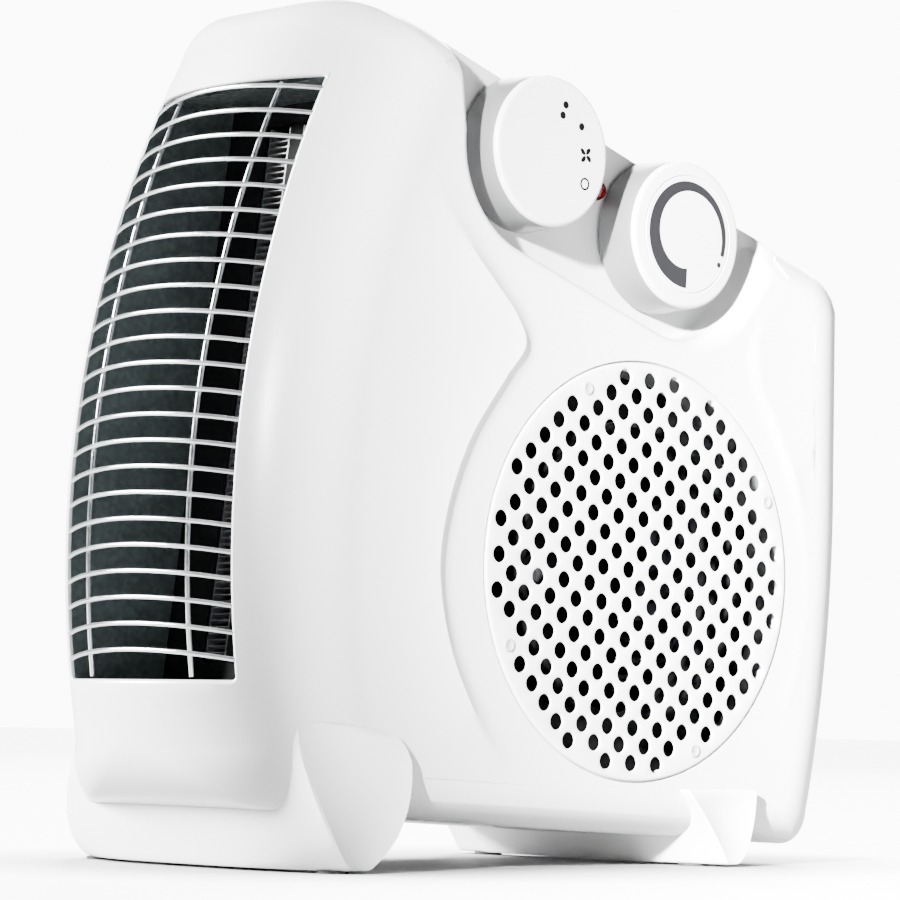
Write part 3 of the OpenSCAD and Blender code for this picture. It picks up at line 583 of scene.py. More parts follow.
def drawn_metal_group():
    """Drawn or rolled metal: fine lines along one axis, with soft tarnish patches."""
    tree, inp, out = group("drawn_metal", [("Colour", COLOUR, (0.6, 0.6, 0.6, 1)), ("Tarnish", COLOUR, (0.3,
                                                                                                        0.3,
                                                                                                        0.3,
                                                                                                        1)),
                                           ("Amount", FLOAT, 0.3), ("Roughness", FLOAT, 0.3),
                                           ("Lines", NORMAL, (40.0, 40.0, 1500.0))],
                           [("Colour", COLOUR), ("Roughness", FLOAT), ("Height", FLOAT)])
    coords = node(tree, "ShaderNodeTexCoord").outputs["Object"]
    stretch = node(tree, "ShaderNodeVectorMath", operation="MULTIPLY")
    wire(tree, coords, stretch.inputs[0])
    wire(tree, inp.outputs["Lines"], stretch.inputs[1])
    lines = noise_node(tree, stretch.outputs[0], 1.0, 3.0, 0.6)
    patches = noise_node(tree, coords, 60.0, 4.0, 0.6)
    mask = math_node(tree, "MULTIPLY", map_range(tree, patches, 0.4, 0.7, 0.0, 1.0), inp.outputs["Amount"])
    wire(tree, mix_colour(tree, mask, inp.outputs["Colour"], inp.outputs["Tarnish"]), out.inputs["Colour"])
    spread = map_range(tree, lines, 0.3, 0.7, -0.07, 0.09)
    wire(tree, math_node(tree, "ADD", inp.outputs["Roughness"], spread), out.inputs["Roughness"])
    wire(tree, lines, out.inputs["Height"])
    return tree


def spangle_group():
    """Hot-dip zinc: crystal patches of differing tone and gloss."""
    tree, inp, out = group("zinc_spangle", [("Light", COLOUR, (0.5, 0.55, 0.53, 1)), ("Dark", COLOUR, (0.2,
                                                                                                       0.24,
                                                                                                       0.24,
                                                                                                       1)),
                                            ("Crystal Scale", FLOAT, 180.0)],
                           [("Colour", COLOUR), ("Roughness", FLOAT), ("Height", FLOAT)])
    coords = node(tree, "ShaderNodeTexCoord").outputs["Object"]
    cells = node(tree, "ShaderNodeTexVoronoi")
    wire(tree, coords, cells.inputs["Vector"])
    wire(tree, inp.outputs["Crystal Scale"], cells.inputs["Scale"])
    tone = node(tree, "ShaderNodeSeparateColor")
    wire(tree, cells.outputs["Color"], tone.inputs["Color"])
    cloud = noise_node(tree, coords, 35.0, 4.0, 0.65)
    factor = math_node(tree, "ADD", math_node(tree, "MULTIPLY", tone.outputs["Red"], 0.5),
                       math_node(tree, "MULTIPLY", cloud, 0.5))
    wire(tree, mix_colour(tree, factor, inp.outputs["Dark"], inp.outputs["Light"]), out.inputs["Colour"])
    wire(tree, map_range(tree, tone.outputs["Green"], 0.0, 1.0, 0.28, 0.5), out.inputs["Roughness"])
    wire(tree, factor, out.inputs["Height"])
    return tree


MOULDED, DRAWN, SPANGLE = moulded_grain_group(), drawn_metal_group(), spangle_group()


def finish_material(name, effect, values, bump=0.0, distance=0.0001, **shader):
    """A material from one effect group; constant shader values stay on the shader."""
    mat = bpy.data.materials.new(name)
    mat.use_nodes = True
    tree = mat.node_tree
    bsdf = tree.nodes["Principled BSDF"]
    surface = tree.nodes.new("ShaderNodeGroup")
    surface.node_tree = effect
    for label, value in values.items():
        socket = surface.inputs[label]
        socket.default_value = (*value, 1.0) if socket.type == "RGBA" else value
    wire(tree, surface.outputs["Colour"], bsdf.inputs["Base Color"])
    wire(tree, surface.outputs["Roughness"], bsdf.inputs["Roughness"])
    if bump:
        relief = tree.nodes.new("ShaderNodeBump")
        relief.inputs["Strength"].default_value = bump
        relief.inputs["Distance"].default_value = distance
        wire(tree, surface.outputs["Height"], relief.inputs["Height"])
        wire(tree, relief.outputs["Normal"], bsdf.inputs["Normal"])
    for label, value in shader.items():
        bsdf.inputs[label.replace("_", " ")].default_value = value
    return mat


WHITE = (0.74, 0.744, 0.748)
casing_white = finish_material("casing_white", MOULDED,
                               {"Colour": WHITE, "Drift": 0.015, "Roughness": 0.3, "Spread": 0.03},
                               bump=0.05, distance=0.00005, IOR=1.5, Coat_Weight=0.15, Coat_Roughness=0.2)
grille_white = finish_material("grille_white", MOULDED,
                               {"Colour": WHITE, "Drift": 0.02, "Roughness": 0.33, "Spread": 0.04},
                               bump=0.05, distance=0.00005, IOR=1.5)
foot_white = finish_material("foot_white", MOULDED,
                             {"Colour": WHITE, "Drift": 0.02, "Roughness": 0.32, "Spread": 0.04},
                             bump=0.06, distance=0.00005, IOR=1.5)
knob_face_white = finish_material("knob_face_white", MOULDED,
                                  {"Colour": (0.66, 0.664, 0.668), "Drift": 0.02, "Roughness": 0.34,
                                                               "Spread": 0.04}, bump=0.05, distance=0.00005,
                                  IOR=1.5)
knob_skirt_silver = finish_material("knob_skirt_silver", MOULDED,
                                    {"Colour": (0.17, 0.172, 0.175), "Drift": 0.04,
                                                                   "Roughness": 0.36, "Spread": 0.05,
                                     "Grain Scale": 2600.0},
                                    bump=0.08, distance=0.00005, Metallic=0.35, IOR=1.5)
clip_grey = finish_material("clip_grey", MOULDED,
                            {"Colour": (0.4, 0.4, 0.4), "Drift": 0.05, "Roughness": 0.3}, IOR=1.5)
mark_grey = finish_material("mark_grey", MOULDED,
                            {"Colour": (0.009, 0.009, 0.01), "Drift": 0.08, "Roughness": 0.5},
                            Specular_IOR_Level=0.2)
mark_black = finish_material("mark_black", MOULDED,
                             {"Colour": (0.002, 0.002, 0.002), "Drift": 0.1, "Roughness": 0.5},
                             Specular_IOR_Level=0.1)
black_plastic = finish_material("black_plastic", MOULDED,
                                {"Colour": (0.004, 0.004, 0.005), "Drift": 0.2, "Roughness": 0.55,
                                                           "Spread": 0.1}, bump=0.2, Specular_IOR_Level=0.12)
grey_plastic = finish_material("grey_plastic", MOULDED,
                               {"Colour": (0.06, 0.06, 0.065), "Drift": 0.15, "Roughness": 0.45},
                               bump=0.15)
cream_plastic = finish_material("cream_plastic", MOULDED,
                                {"Colour": (0.7, 0.66, 0.54), "Drift": 0.08, "Roughness": 0.4},
                                bump=0.1)
rubber_black = finish_material("rubber_black", MOULDED,
                               {"Colour": (0.02, 0.02, 0.02), "Drift": 0.3, "Roughness": 0.8,
                                                         "Grain Scale": 900.0}, bump=0.3)
lead_sleeve = finish_material("lead_sleeve", MOULDED,
                              {"Colour": (0.2, 0.1, 0.06), "Drift": 0.2, "Roughness": 0.4}, bump=0.1)
guard_chrome = finish_material("guard_chrome", DRAWN,
                               {"Colour": (0.78, 0.8, 0.82), "Tarnish": (0.4, 0.42, 0.44),
                                                       "Amount": 0.25, "Roughness": 0.16,
                                "Lines": (50, 400, 400)},
                               bump=0.05, distance=0.00005, Metallic=0.9)
bright_steel = finish_material("bright_steel", DRAWN,
                               {"Colour": (0.5, 0.5, 0.51), "Tarnish": (0.25, 0.25, 0.26),
                                                       "Roughness": 0.3, "Lines": (900, 60, 60)}, bump=0.1,
                               Metallic=1.0)
stack_steel = finish_material("stack_steel", DRAWN,
                              {"Colour": (0.25, 0.26, 0.28), "Tarnish": (0.12, 0.1, 0.09),
                                                     "Roughness": 0.45, "Lines": (2000, 20, 20)}, bump=0.4,
                              Metallic=1.0)
fin_aluminium = finish_material("fin_aluminium", DRAWN,
                                {"Colour": (0.5, 0.51, 0.52), "Tarnish": (0.16, 0.16, 0.17),
                                                         "Amount": 0.5, "Roughness": 0.35,
                                 "Lines": (60, 60, 60)},
                                bump=0.1, Metallic=0.9)
brass_tag = finish_material("brass_tag", DRAWN,
                            {"Colour": (0.7, 0.5, 0.2), "Tarnish": (0.3, 0.2, 0.1), "Roughness": 0.3,
                                                 "Lines": (40, 40, 900)}, bump=0.1, Metallic=1.0)
coil_copper = finish_material("coil_copper", DRAWN,
                              {"Colour": (0.5, 0.18, 0.07), "Tarnish": (0.2, 0.06, 0.03),
                                                     "Roughness": 0.3, "Lines": (20, 20, 2400)}, bump=0.6,
                              Metallic=0.8)
duct_zinc = finish_material("duct_zinc", SPANGLE, {"Light": (0.15, 0.175, 0.175), "Dark": (0.09, 0.11, 0.11),
                                                   "Crystal Scale": 700.0}, bump=0.1, Metallic=0.7)
sheet_zinc = finish_material("sheet_zinc", SPANGLE, {"Light": (0.1, 0.11, 0.11), "Dark": (0.05, 0.055, 0.055),
                                                     "Crystal Scale": 420.0}, bump=0.1, Metallic=0.8)
baffle_black = finish_material("baffle_black", SPANGLE,
                               {"Light": (0.004, 0.004, 0.0045), "Dark": (0.002, 0.002, 0.002),
                                                         "Crystal Scale": 420.0}, bump=0.1,
                               Specular_IOR_Level=0.1)
lens_red = finish_material("lens_red", MOULDED,
                           {"Colour": (0.1, 0.0004, 0.002), "Drift": 0.1, "Roughness": 0.12,
                                                 "Spread": 0.02}, IOR=1.49, Coat_Weight=0.5)
lamp_glass = finish_material("lamp_glass", MOULDED,
                             {"Colour": (1.0, 0.55, 0.3), "Drift": 0.1, "Roughness": 0.1,
                                                     "Spread": 0.02}, IOR=1.5, Transmission_Weight=0.6)

NODE_FINISH = {
    "screw_posts": casing_white, "outlet_wires": guard_chrome, "outlet_uprights": guard_chrome,
               "outlet_liner": duct_zinc,
    "foot_pads": rubber_black, "case_screws": bright_steel, "foot_screws": bright_steel,
               "motor_screws": bright_steel,
    "mode_switch": grey_plastic, "mode_spindle": cream_plastic, "thermostat": cream_plastic,
    "heat_spindle": bright_steel, "indicator_lens": lens_red, "neon_lamp": lamp_glass,
    "ptc_frame": black_plastic, "ptc_bars": black_plastic, "ptc_fins": fin_aluminium,
               "ptc_terminals": brass_tag,
    "thermal_cutout": bright_steel, "thermal_fuse": bright_steel, "volute_wall": sheet_zinc,
    "motor_plate": sheet_zinc, "inlet_plate": baffle_black, "impeller": black_plastic, "shaft": bright_steel,
    "rotor": stack_steel, "stator": stack_steel, "motor_coil": coil_copper, "front_bearing": bright_steel,
    "rear_bearing": bright_steel, "tip_switch": grey_plastic, "tip_plunger": grey_plastic,
    "tip_spring": bright_steel, "terminal_block": cream_plastic, "cord_bush": black_plastic,
    "supply_leads": lead_sleeve,
}
for name, mat in NODE_FINISH.items():
    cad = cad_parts[name]
    cad.data.materials.clear()
    cad.data.materials.append(mat)


def place(piece, body, slot, *nodes):
    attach(piece, body)
    if nodes:
        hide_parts(*nodes)


# ---- Casing ----

form = casing_form(0.0, RINGS, steps=True)
form_tree = tree_of(form)


def make_main_shell():
    shell = form.copy()
    shell.data = form.data.copy()
    shell.name = "main_shell_finished"
    bpy.context.collection.objects.link(shell)
    hollow = casing_form(WALL, 8)
    behind = prism_x("recess_back", recess_line(WALL), FLOOR_X - WALL, 90.0)
    cut(hollow, behind)
    seat = round_cut("grille_seat", GRILLE, [(GRILLE_R - 1.8, 40), (GRILLE_R - 1.8, SEAT_X),
                                             (GRILLE_R + 0.5, SEAT_X), (GRILLE_R + 0.5, HALF_W - 0.25),
                                             (GRILLE_R + 0.75, HALF_W + 0.25), (GRILLE_R + 0.75, HALF_W + 4)],
                     segments=192)
    tools = [recess_tool(form_tree), hollow, outlet_tool(form_tree), seat,
             box_cut("seam_tool", (-90, -160, -20), (-SEAM_X, 160, 300)), lens_tool(20.0),
             round_cut("pin_hole", (0.0, -36.0), [(5.0, 0.0), (5.0, 21.5)], "z"),
             round_cut("bush_hole", (0.0, 30.0), [(7.05, 85.0), (7.05, 135.0)], "y")]
    tools += [round_cut("spindle_hole", k, [(4.0, FLOOR_X - 6), (4.0, FLOOR_X + 2)]) for k in (KNOB_A,
                                                                                               KNOB_B)]
    tools += [round_cut("screw_hole", (x, y), [(1.75, 0.0), (1.75, base_at(y) + 7)], "z")
              for x in (-28, 28) for y in (-81.5, 61)]
    cut(shell, *tools)
    shell.data.materials.clear()
    shell.data.materials.append(casing_white)
    shade_by_angle(shell, 28)
    place(shell, "heater", "shell_white", "main_shell")
    return shell


make_main_shell()

BOSSES = [(-58.0, 233.0), (-80.0, base_at(FRONT_Y) + 20), (92.0, slope_at(BACK_Y) - 25),
          (80.0, base_at(BACK_Y) + 25)]
HEAD_X = HALF_W - 8


def slot_tool(y0, y1, z, half, x0, x1):
    """A slot with round ends through the left side, with a small rolled edge outside."""
    rings = []
    for grow, x in ((0.0, x1), (0.0, x0 + 0.5), (0.15, x0 + 0.2), (0.5, x0 - 0.02), (1.0, x0 - 0.4),
                    (1.0, x0 - 3)):
        r = half + grow
        rings.append([(x, p[0], p[1]) for p in arc((y1, z), r, -90, 90, 8) + arc((y0, z), r, 90, 270, 8)])
    return mesh_object("slot_tool", *tube_of_rings(rings), shade=False)


def make_left_cover():
    cover = form.copy()
    cover.data = form.data.copy()
    cover.name = "left_cover_finished"
    bpy.context.collection.objects.link(cover)
    tools = [casing_form(WALL, 8), box_cut("seam_tool", (-SEAM_X - 0.55, -160, -20), (90, 160, 300))]
    for k in range(9):
        dz = (k - 4) * 9.0
        half = math.sqrt((GRILLE_R - 18) ** 2 - dz * dz) - 1.6
        tools.append(slot_tool(GRILLE[0] - half, GRILLE[0] + half, GRILLE[1] + dz, 1.6, -HALF_W, -HALF_W + 5))
    for p in BOSSES:
        tools.append(round_cut("counterbore", p,
                               [(4.4, -HALF_W - 4), (4.4, -HALF_W - 0.05), (3.6, -HALF_W + 0.6),
                                                  (3.3, -HALF_W + 1.2), (3.3, -40)]))
    cut(cover, *tools)
    cover.data.materials.clear()
    cover.data.materials.append(casing_white)
    shade_by_angle(cover, 28)
    place(cover, "heater", "shell_white", "left_cover")
    verts, faces = [], []
    for p in BOSSES:
        profile = [(5.2, -45.0), (5.2, -53.4), (3.3, -53.4), (3.3, -HEAD_X), (2.05, -HEAD_X), (2.05, -45.0)]
        rings = [[(x, p[0] + r * math.cos(a),
                   p[1] + r * math.sin(a)) for a in (math.pi * k / 24 for k in range(48))]
                 for r, x in profile]
        v, f = tube_of_rings(rings, closed=True)
        faces += [tuple(len(verts) + i for i in q) for q in f]
        verts += v
    place(mesh_object("cover_bosses", verts, faces, casing_white), "heater", "shell_white")
    lip = casing_form(1.0, 12)
    lip.name = "seam_lip"
    cut(lip, casing_form(2.3, 8), box_cut("a", (-90, -160, -20), (-47, 160, 300)),
        box_cut("b", (-42, -160, -20), (90, 160, 300)))
    lip.data.materials.clear()
    lip.data.materials.append(casing_white)
    shade_by_angle(lip)
    place(lip, "heater", "shell_white")


# ---- Intake grille ----

HOLE_PITCH, HOLE_R = 7.29, 2.5
GRILLE_TURN = math.radians(42)
GRILLE_FACE = HALF_W + 0.6
PLATE_T = 0.75
RIM_BAND = 2.5


def grille_places():
    """Hole centres and clip centres, in the yz plane, on the turned square pattern."""
    far = math.floor(GRILLE_R / HOLE_PITCH) - 0.5
    near = far - 5
    limit = math.hypot(far, near) + 0.01
    holes, clips = [], []
    for i in range(-9, 9):
        for j in range(-9, 9):
            u, v = i + 0.5, j + 0.5
            if math.hypot(u, v) >= limit:
                continue
            at = (GRILLE[0] + HOLE_PITCH * (u * math.cos(GRILLE_TURN) - v * math.sin(GRILLE_TURN)),
                  GRILLE[1] + HOLE_PITCH * (u * math.sin(GRILLE_TURN) + v * math.cos(GRILLE_TURN)))
            is_clip = (max(abs(u), abs(v)) == far and min(abs(u),
                                                          abs(v)) == near and (abs(u) - abs(v)) * u * v < 0)
            (clips if is_clip else holes).append(at)
    return holes, clips


def make_grille():
    holes, clips = grille_places()
    sides, rim = 24, 192

    def circle(c, r, n):
        return [(c[0] + r * math.cos(2 * math.pi * k / n),
                 c[1] + r * math.sin(2 * math.pi * k / n)) for k in range(n)]

    points, links = [], []
    for centre, r, n in [(GRILLE, GRILLE_R - 0.9, rim)] + [(h, HOLE_R + 0.4, sides) for h in holes]:
        first = len(points)
        points += [Vector(p) for p in circle(centre, r, n)]
        links += [(first + k, first + (k + 1) % n) for k in range(n)]
    extra = [Vector(circle(GRILLE, r, 6 * round(r / 3.2))[k]) for r in (50.0, 53.5, 57.0)
             for k in range(6 * round(r / 3.2))]
    clear = KDTree(len(holes))
    for i, h in enumerate(holes):
        clear.insert((h[0], h[1], 0), i)
    clear.balance()
    points += [p for p in extra if clear.find((p.x, p.y, 0))[2] > HOLE_R + 1.2]
    verts, _, faces = delaunay_2d_cdt(points, links, [], 1, 1e-6)[:3]
    flat = []
    for f in faces:
        mid = sum((verts[i] for i in f), Vector((0, 0))) / len(f)
        if clear.find((mid.x, mid.y, 0))[2] > HOLE_R + 0.38:
            flat.append(tuple(f))

    def dome(p):
        return 0.5 * max(0.0, 1 - (Vector(p) - GRILLE).length_squared / GRILLE_R**2)

    out = [(GRILLE_FACE + dome(v), v.x, v.y) for v in verts]
    back = {}
    for i, v in enumerate(verts):
        back[i] = len(out)
        near, _, gap = clear.find((v.x, v.y, 0))
        p = Vector((v.x, v.y))
        if gap < HOLE_R + 0.41:
            c = Vector((near.x, near.y))
            p = c + (p - c).normalized() * HOLE_R
        elif (p - GRILLE).length > GRILLE_R - 0.91:
            p = GRILLE + (p - GRILLE).normalized() * GRILLE_R
        in_rim = (p - GRILLE).length > GRILLE_R - RIM_BAND
        out.append((SEAT_X if in_rim else GRILLE_FACE + dome(p) - PLATE_T, p.x, p.y))
    all_faces = flat + [tuple(back[i] for i in f)[::-1] for f in flat]
    loops = [(0, rim, GRILLE, GRILLE_R, 0.9)] + [(rim + k * sides, sides, Vector(h), HOLE_R, -0.4)
                                                 for k, h in enumerate(holes)]
    for first, n, c, r, roll in loops:
        rows = [[first + k for k in range(n)]]
        for a in (30, 60, 90):
            row = []
            for k in range(n):
                d = (Vector((out[first + k][1], out[first + k][2])) - c).normalized()
                rr = r - roll * (1 - math.sin(math.radians(a)))
                x = out[first + k][0] - abs(roll) * (1 - math.cos(math.radians(a)))
                row.append(len(out))
                out.append((x, c.x + d.x * rr, c.y + d.y * rr))
            rows.append(row)
        rows.append([back[first + k] for k in range(n)])
        for top, low in zip(rows, rows[1:]):
            all_faces += [(top[k], top[(k + 1) % n], low[(k + 1) % n], low[k]) for k in range(n)]
    grille = mesh_object("intake_grille_finished", out, all_faces, grille_white)
    place(grille, "heater", "grille_white", "intake_grille")
    for k, c in enumerate(clips):
        top = GRILLE_FACE + 0.1
        clip = lathe("grille_clip_%d" % k, [(2.0, -1.2), (2.0, 0.25), (1.85, 0.5), (1.5, 0.62), (1.2, 0.45),
                                            (0.9, 0.3),
                                            (0.0, 0.28)], top, c, clip_grey, 32)
        place(clip, "heater", "grille_white")


# ---- Knobs ----

FACE_X = FLOOR_X + 1 + KNOB_H


def face_height(r):
    return 0.55 * max(0.0, 1 - (r / 20.5) ** 2)


def face_point(centre, r, a, lift):
    return (FACE_X + face_height(r) + lift, centre[0] + r * math.cos(a), centre[1] + r * math.sin(a))


def mark_sheet(name, centre, rows):
    """A thin printed mark on a knob face: rows of (r, angle) points, closed round as a shallow solid."""
    n, m = len(rows), len(rows[0])
    verts = [face_point(centre, r, math.radians(a), 0.07) for row in rows for r, a in row]
    verts += [face_point(centre, r, math.radians(a), -0.3) for row in rows for r, a in row]
    faces, half = [], n * m
    for i in range(n - 1):
        for j in range(m - 1):
            q = (i * m + j, i * m + j + 1, (i + 1) * m + j + 1, (i + 1) * m + j)
            faces += [q, tuple(half + v for v in q)[::-1]]
    edge = ([j for j in range(m)] + [i * m + m - 1 for i in range(1, n)]
            + [(n - 1) * m + j for j in range(m - 2, -1, -1)] + [i * m for i in range(n - 2, 0, -1)])
    faces += [(edge[k], edge[(k + 1) % len(edge)], half + edge[(k + 1) % len(edge)], half + edge[k])
              for k in range(len(edge))]
    return mesh_object(name, verts, faces, mark_grey)


def polar(dy, dz):
    return math.hypot(dy, dz), math.degrees(math.atan2(dz, dy))


def round_mark(name, centre, r, a, radius, inner=0.0):
    c = (r * math.cos(math.radians(a)), r * math.sin(math.radians(a)))
    rows = []
    for k in range(5):
        rr = lerp(max(inner, 0.01), radius, k / 4)
        rows.append([polar(c[0] + rr * math.cos(b), c[1] + rr * math.sin(b))
                     for b in (2 * math.pi * j / 28 for j in range(29))])
    return mark_sheet(name, centre, rows)


def blade_mark(name, centre, r, a, turn):
    """One petal of the fan sign."""
    c = (r * math.cos(math.radians(a)), r * math.sin(math.radians(a)))
    t = math.radians(turn)
    rows = []
    for k in range(5):
        u = lerp(0.35, 2.7, k / 4)
        wide = 0.75 * math.sin(math.pi * (0.12 + 0.76 * k / 4))
        row = []
        for w in (-1, 0, 1):
            du, dw = u, wide * w + 0.25 * math.sin(u)
            row.append(polar(c[0] + du * math.cos(t) - dw * math.sin(t),
                             c[1] + du * math.sin(t) + dw * math.cos(t)))
        rows.append(row)
    return mark_sheet(name, centre, rows)


def knob_pieces(label, body, centre, cad_node, dish):
    edge_r = KNOB_R - 0.8
    skirt = lathe(label + "_skirt", [(20.2, 0.2), (20.6, 0.0), (KNOB_R - 0.5, 0.0), (KNOB_R, 0.5),
                                     (KNOB_R - 0.12, 3.0),
                                     (KNOB_R - 0.3, 6.0), (KNOB_R - 0.5, 9.0), (edge_r + 0.05, 12.6),
                                     (edge_r - 0.1, 12.95), (edge_r - 0.5, 13.0), (18.0, 13.0), (18.0, 11.5),
                                     (20.2, 11.0)], FLOOR_X + 1, centre, knob_skirt_silver)
    bm = bmesh.new()
    bm.from_mesh(skirt.data)
    bmesh.ops.delete(bm, geom=[f for f in bm.faces if len(f.verts) > 4], context="FACES")
    ends = [e for e in bm.edges if len(e.link_faces) == 1]
    bmesh.ops.bridge_loops(bm, edges=ends)
    bmesh.ops.recalc_face_normals(bm, faces=bm.faces)
    bm.to_mesh(skirt.data)
    bm.free()
    shade_by_angle(skirt)
    place(skirt, body, "knob_white", cad_node)
    top = [(19.0, 12.7), (edge_r - 0.75, 12.7), (edge_r - 0.3, 13.0), (edge_r, 13.4)]
    for k in range(7):
        a = math.pi / 2 * k / 6
        top.append((edge_r - 1.5 + 1.5 * math.cos(a), KNOB_H - 1.5 + 1.5 * math.sin(a)))
    if dish:
        top += [(18.6, KNOB_H + face_height(18.6)), (18.1, KNOB_H + face_height(18.1) + 0.05),
                (17.9, KNOB_H + face_height(17.9) - 0.3), (17.6, KNOB_H + face_height(17.6) - 0.3),
                (17.4, KNOB_H + face_height(17.4) + 0.02)]
    top += [(r, KNOB_H + face_height(r)) for r in ((16, 14, 12, 10, 8, 6, 4, 2, 0) if dish
                                                   else (20, 18, 16, 14, 12, 10, 8, 6, 4, 2, 0))]
    cap = lathe(label + "_cap", top, FLOOR_X + 1, centre, knob_face_white)
    place(cap, body, "knob_white")


def make_knobs():
    knob_pieces("mode_knob", "mode_dial", KNOB_A, "mode_knob", False)
    marks = [round_mark("mark_high_upper", KNOB_A, 14.7, 72, 1.15),
             round_mark("mark_high_lower", KNOB_A, 11.3, 73, 1.15),
             round_mark("mark_low", KNOB_A, 13.7, 37, 1.15),
             round_mark("mark_off", KNOB_A, 15.2, -34, 1.9, 1.3)]
    marks += [blade_mark("mark_fan_%d" % k, KNOB_A, 12.8, 0, 45 + 90 * k) for k in range(4)]
    for m in marks:
        m.data.materials[0] = mark_black
        place(m, "mode_dial", "knob_white")
    knob_pieces("heat_knob", "heat_dial", KNOB_B, "heat_knob", True)
    rows = []
    for k in range(97):
        a = lerp(-92, -380, k / 96)
        inner = lerp(10.2, 14.7, (k / 96) ** 0.8)
        rows.append([(lerp(inner, 16.2, w / 3), a) for w in range(4)])
    place(mark_sheet("mark_heat_scale", KNOB_B, rows), "heat_dial", "knob_white")
    place(round_mark("mark_heat_dot", KNOB_B, 15.5, -31, 0.85), "heat_dial", "knob_white")


# ---- Feet ----


def along(table, z):
    """Value at z on a line of straight pieces through (z, value) pairs."""
    if z <= table[0][0]:
        return table[0][1]
    for (z0, v0), (z1, v1) in zip(table, table[1:]):
        if z <= z1:
            return lerp(v0, v1, (z - z0) / (z1 - z0))
    return table[-1][1]


def spade(name, levels, half_x, back_x, front, back, centre_y, power, hollow, corner_r=0.9):
    """A cross foot lofted over its height, with a hollowed facet on each end."""
    rings = []
    for z, inset in levels:
        xf, xb = along(half_x, z) - inset, along(back_x, z) - inset
        y0, y1, yc = along(front, z) + inset, along(back, z) - inset, centre_y(z) + inset
        y1 = max(y1, y0 + 0.6)
        ring = []
        n = 40
        for k in range(n + 1):
            x = (xf - corner_r * 0.7) * (2 * k / n - 1)
            ring.append((x, yc + (y0 - yc) * abs(x / xf) ** power, z))
        side = []
        depth = along(hollow, z) * min(1.0, (y1 - y0) / 18)
        for k in range(13):
            t = k / 12
            y = lerp(y0 + corner_r * 0.6, y1 - 0.25, t)
            side.append((lerp(xf, xb, t) - depth * math.sin(math.pi * min(1, t * 1.02)) ** 0.85, y, z))
        ring += side
        ring += [(lerp(xb - 0.6, -xb + 0.6, k / 20), y1, z) for k in range(21)]
        ring += [(-x, y, z) for x, y, z in side[::-1]]
        rings.append(ring)
    return mesh_object(name, *tube_of_rings(rings), shade=False)


def foot_holes(y):
    out = []
    for x in (-28, 28):
        depth = base_at(y) - 2.5
        out.append(round_cut("foot_hole", (x, y),
                             [(4.4, -2.0), (4.4, 0.85), (4.0, 1.3), (4.0, depth), (2.05, depth),
                                                   (2.05, 40)], "z", 48))
    return out


def make_feet():
    levels = [(0.8, 0.7), (1.0, 0.25), (1.5, 0.0), (3, 0), (6.6, 0), (10, 0), (14, 0), (17.6, 0), (22, 0),
              (26, 0),
              (31, 0), (35, 0), (38, 0), (40, 0), (41, 0), (41.8, 0.0), (42.4, 0.2), (42.8, 0.5), (43.0, 1.1)]
    front = [(0.8, -86.8), (3.5, -90.6), (7, -93.0), (14, -95.9), (23, -98.1), (31, -98.8), (37, -98.9),
             (43, -98.5)]
    back = [(0.8, -80.6), (2, -78.6), (6, -74), (11, -69.6), (18.6, -66.5), (25, -65.2), (31, -65.0),
            (35, -66.6),
            (38, -69), (40, -74), (41, -79.5), (42.4, -90), (43, -94)]
    half_x = [(0.8, 61.0), (7, 61.5), (14, 60.2), (23, 57.0), (31, 53.6), (35, 52.4), (43, 51.0)]
    back_x = [(0.8, 61.0), (7, 61.3), (20, 61.2), (30, 60.6), (38, 59.0), (41, 56.0), (43, 52.0)]
    hollow = [(0.8, 0.4), (8, 1.6), (14, 1.2), (20, 0.2), (26, -0.8), (31, -1.8), (35, -2.6), (38, -3.2),
              (43, -3.2)]
    foot = spade("front_foot_finished", levels, half_x, back_x, front, back,
                 lambda z: along([(0.8, -100.0), (10, -100.9), (20, -101.4), (43, -104.5)], z), 3.2, hollow)
    cut(foot, casing_form(-0.15, 10), *foot_holes(-81.5))
    foot.data.materials.append(foot_white)
    shade_by_angle(foot, 30)
    place(foot, "heater", "foot_white", "front_foot")
    levels = [(0.8, 0.6), (1.0, 0.2), (1.5, 0.0), (3, 0), (6, 0), (9, 0), (12, 0), (15, 0), (18, 0),
              (20.5, 0), (22, 0),
              (22.8, 0.3), (23.2, 0.9)]
    front = [(0.8, 61.2), (3, 59.8), (8, 56.6), (13, 52.8), (18, 48.6), (22, 44.8), (23.2, 43.6)]
    back = [(0.8, 66.0), (3, 68.4), (6, 70.4), (14, 72.6), (23.2, 73.6)]
    hollow = [(0.8, 0.3), (8, 1.2), (18, 1.8), (23.2, 0.6)]
    half_x = [(0.8, 60.6), (23.2, 60.8)]
    foot = spade("rear_foot_finished", levels, half_x, half_x, front, back,
                 lambda z: along(front, z) - 7 * (1 - z / 23.2), 3.0, hollow)
    cut(foot, casing_form(-0.15, 10), *foot_holes(61))
    foot.data.materials.append(foot_white)
    shade_by_angle(foot, 30)
    place(foot, "heater", "foot_white", "rear_foot")


make_left_cover()
make_grille()
make_knobs()
make_feet()

# ---- Studio ----

AMBIENT = 0.1
BACKDROP = 11.0
FLOOR_GLOW = 8.0
FLOOR_SIZE = 6.0
# Reach and strength of the contact shadow painted into the floor's glow
PAINTED_SHADOW_REACH, PAINTED_SHADOW_DEPTH = 0.08, 3.4


def make_camera():
    data = bpy.data.cameras.new("camera")
    data.lens, data.sensor_width = 160.0, 36.0
    data.clip_start, data.clip_end = 0.05, 20.0
    cam = bpy.data.objects.new("camera", data)
    bpy.context.collection.objects.link(cam)
    right = Vector((0.6657, 0.7460, 0.0169)).normalized()
    back = Vector((0.7453, -0.6637, -0.0657)).normalized()
    up = back.cross(right).normalized()
    right = up.cross(back)
    turn = Matrix((right, up, back)).transposed()
    cam.matrix_world = Matrix.Translation((0.9037, -0.8040, 0.0447)) @ turn.to_4x4()
    bpy.context.scene.camera = cam


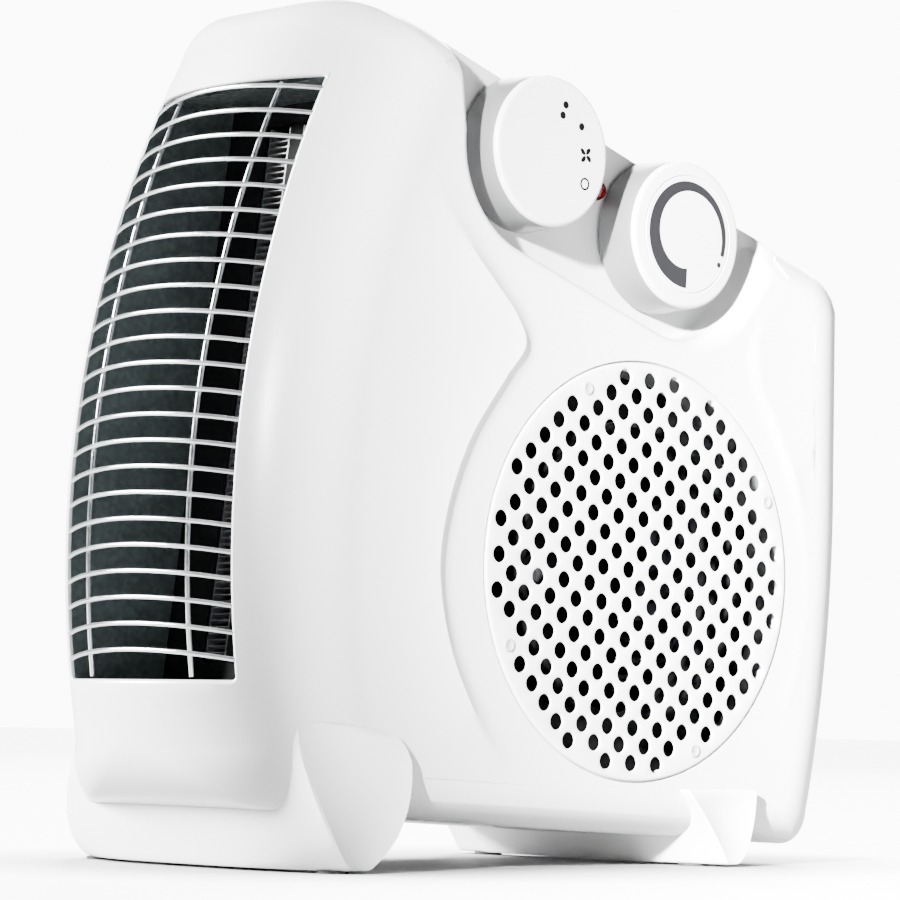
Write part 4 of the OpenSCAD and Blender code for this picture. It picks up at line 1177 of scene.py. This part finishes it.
def make_light(name, at, towards, size, power):
    data = bpy.data.lights.new(name, "AREA")
    data.shape, data.size, data.size_y = "RECTANGLE", size[0], size[1]
    data.energy = power
    light = bpy.data.objects.new(name, data)
    bpy.context.collection.objects.link(light)
    light.location = at
    light.rotation_euler = (Vector(towards) - Vector(at)).to_track_quat("-Z", "Y").to_euler()


def make_studio():
    far = FLOOR_SIZE / MM
    corners = [(-far, -far, -0.05), (far, -far, -0.05), (far, far, -0.05), (-far, far, -0.05)]
    floor = mesh_object("floor", corners, [(0, 1, 2, 3)])
    mat = bpy.data.materials.new("studio_floor")
    mat.use_nodes = True
    tree = mat.node_tree
    bsdf = tree.nodes["Principled BSDF"]
    bsdf.inputs["Base Color"].default_value = (0.3, 0.3, 0.3, 1)
    bsdf.inputs["Roughness"].default_value = 0.5
    bsdf.inputs["Emission Color"].default_value = (1, 1, 1, 1)
    # Painted contact shadow: ambient occlusion dims the floor's glow near the feet and under the body
    near = tree.nodes.new("ShaderNodeAmbientOcclusion")
    near.samples = 16
    near.inputs["Distance"].default_value = PAINTED_SHADOW_REACH
    ray = tree.nodes.new("ShaderNodeLightPath")
    painted_shadow_factor = math_node(tree, "POWER", near.outputs["AO"], PAINTED_SHADOW_DEPTH)
    lit = math_node(tree, "MULTIPLY", ray.outputs["Is Camera Ray"], FLOOR_GLOW)
    glow = math_node(tree, "MULTIPLY", painted_shadow_factor, lit)
    wire(tree, glow, bsdf.inputs["Emission Strength"])
    floor.data.materials.append(mat)
    world = bpy.data.worlds.new("studio")
    bpy.context.scene.world = world
    world.use_nodes = True
    tree = world.node_tree
    seen, light = tree.nodes["Background"], tree.nodes.new("ShaderNodeBackground")
    seen.inputs["Strength"].default_value = BACKDROP
    seen.inputs["Color"].default_value = light.inputs["Color"].default_value = (1, 1, 1, 1)
    light.inputs["Strength"].default_value = AMBIENT
    ray, mix = tree.nodes.new("ShaderNodeLightPath"), tree.nodes.new("ShaderNodeMixShader")
    wire(tree, ray.outputs["Is Camera Ray"], mix.inputs["Fac"])
    wire(tree, light.outputs[0], mix.inputs[1])
    wire(tree, seen.outputs[0], mix.inputs[2])
    wire(tree, mix.outputs[0], tree.nodes["World Output"].inputs["Surface"])
    make_light("front_left", (-1.4, -1.2, 0.95), (0, 0, 0.12), (0.8, 0.8), 480)
    make_light("rear_fill", (-1.3, 1.5, 1.1), (0, 0, 0.12), (1.2, 1.2), 130)
    data = bpy.data.lights.new("side_spot", "SPOT")
    data.energy, data.shadow_soft_size = 7000, 0.07
    data.spot_size, data.spot_blend = math.radians(28), 0.06
    spot = bpy.data.objects.new("side_spot", data)
    bpy.context.collection.objects.link(spot)
    spot.location = (0.89, -1.68, 0.62)
    spot.rotation_euler = (Vector((0.474, 0.252, 0.12)) - spot.location).to_track_quat("-Z", "Y").to_euler()


make_camera()
make_studio()
bpy.data.objects.remove(form)
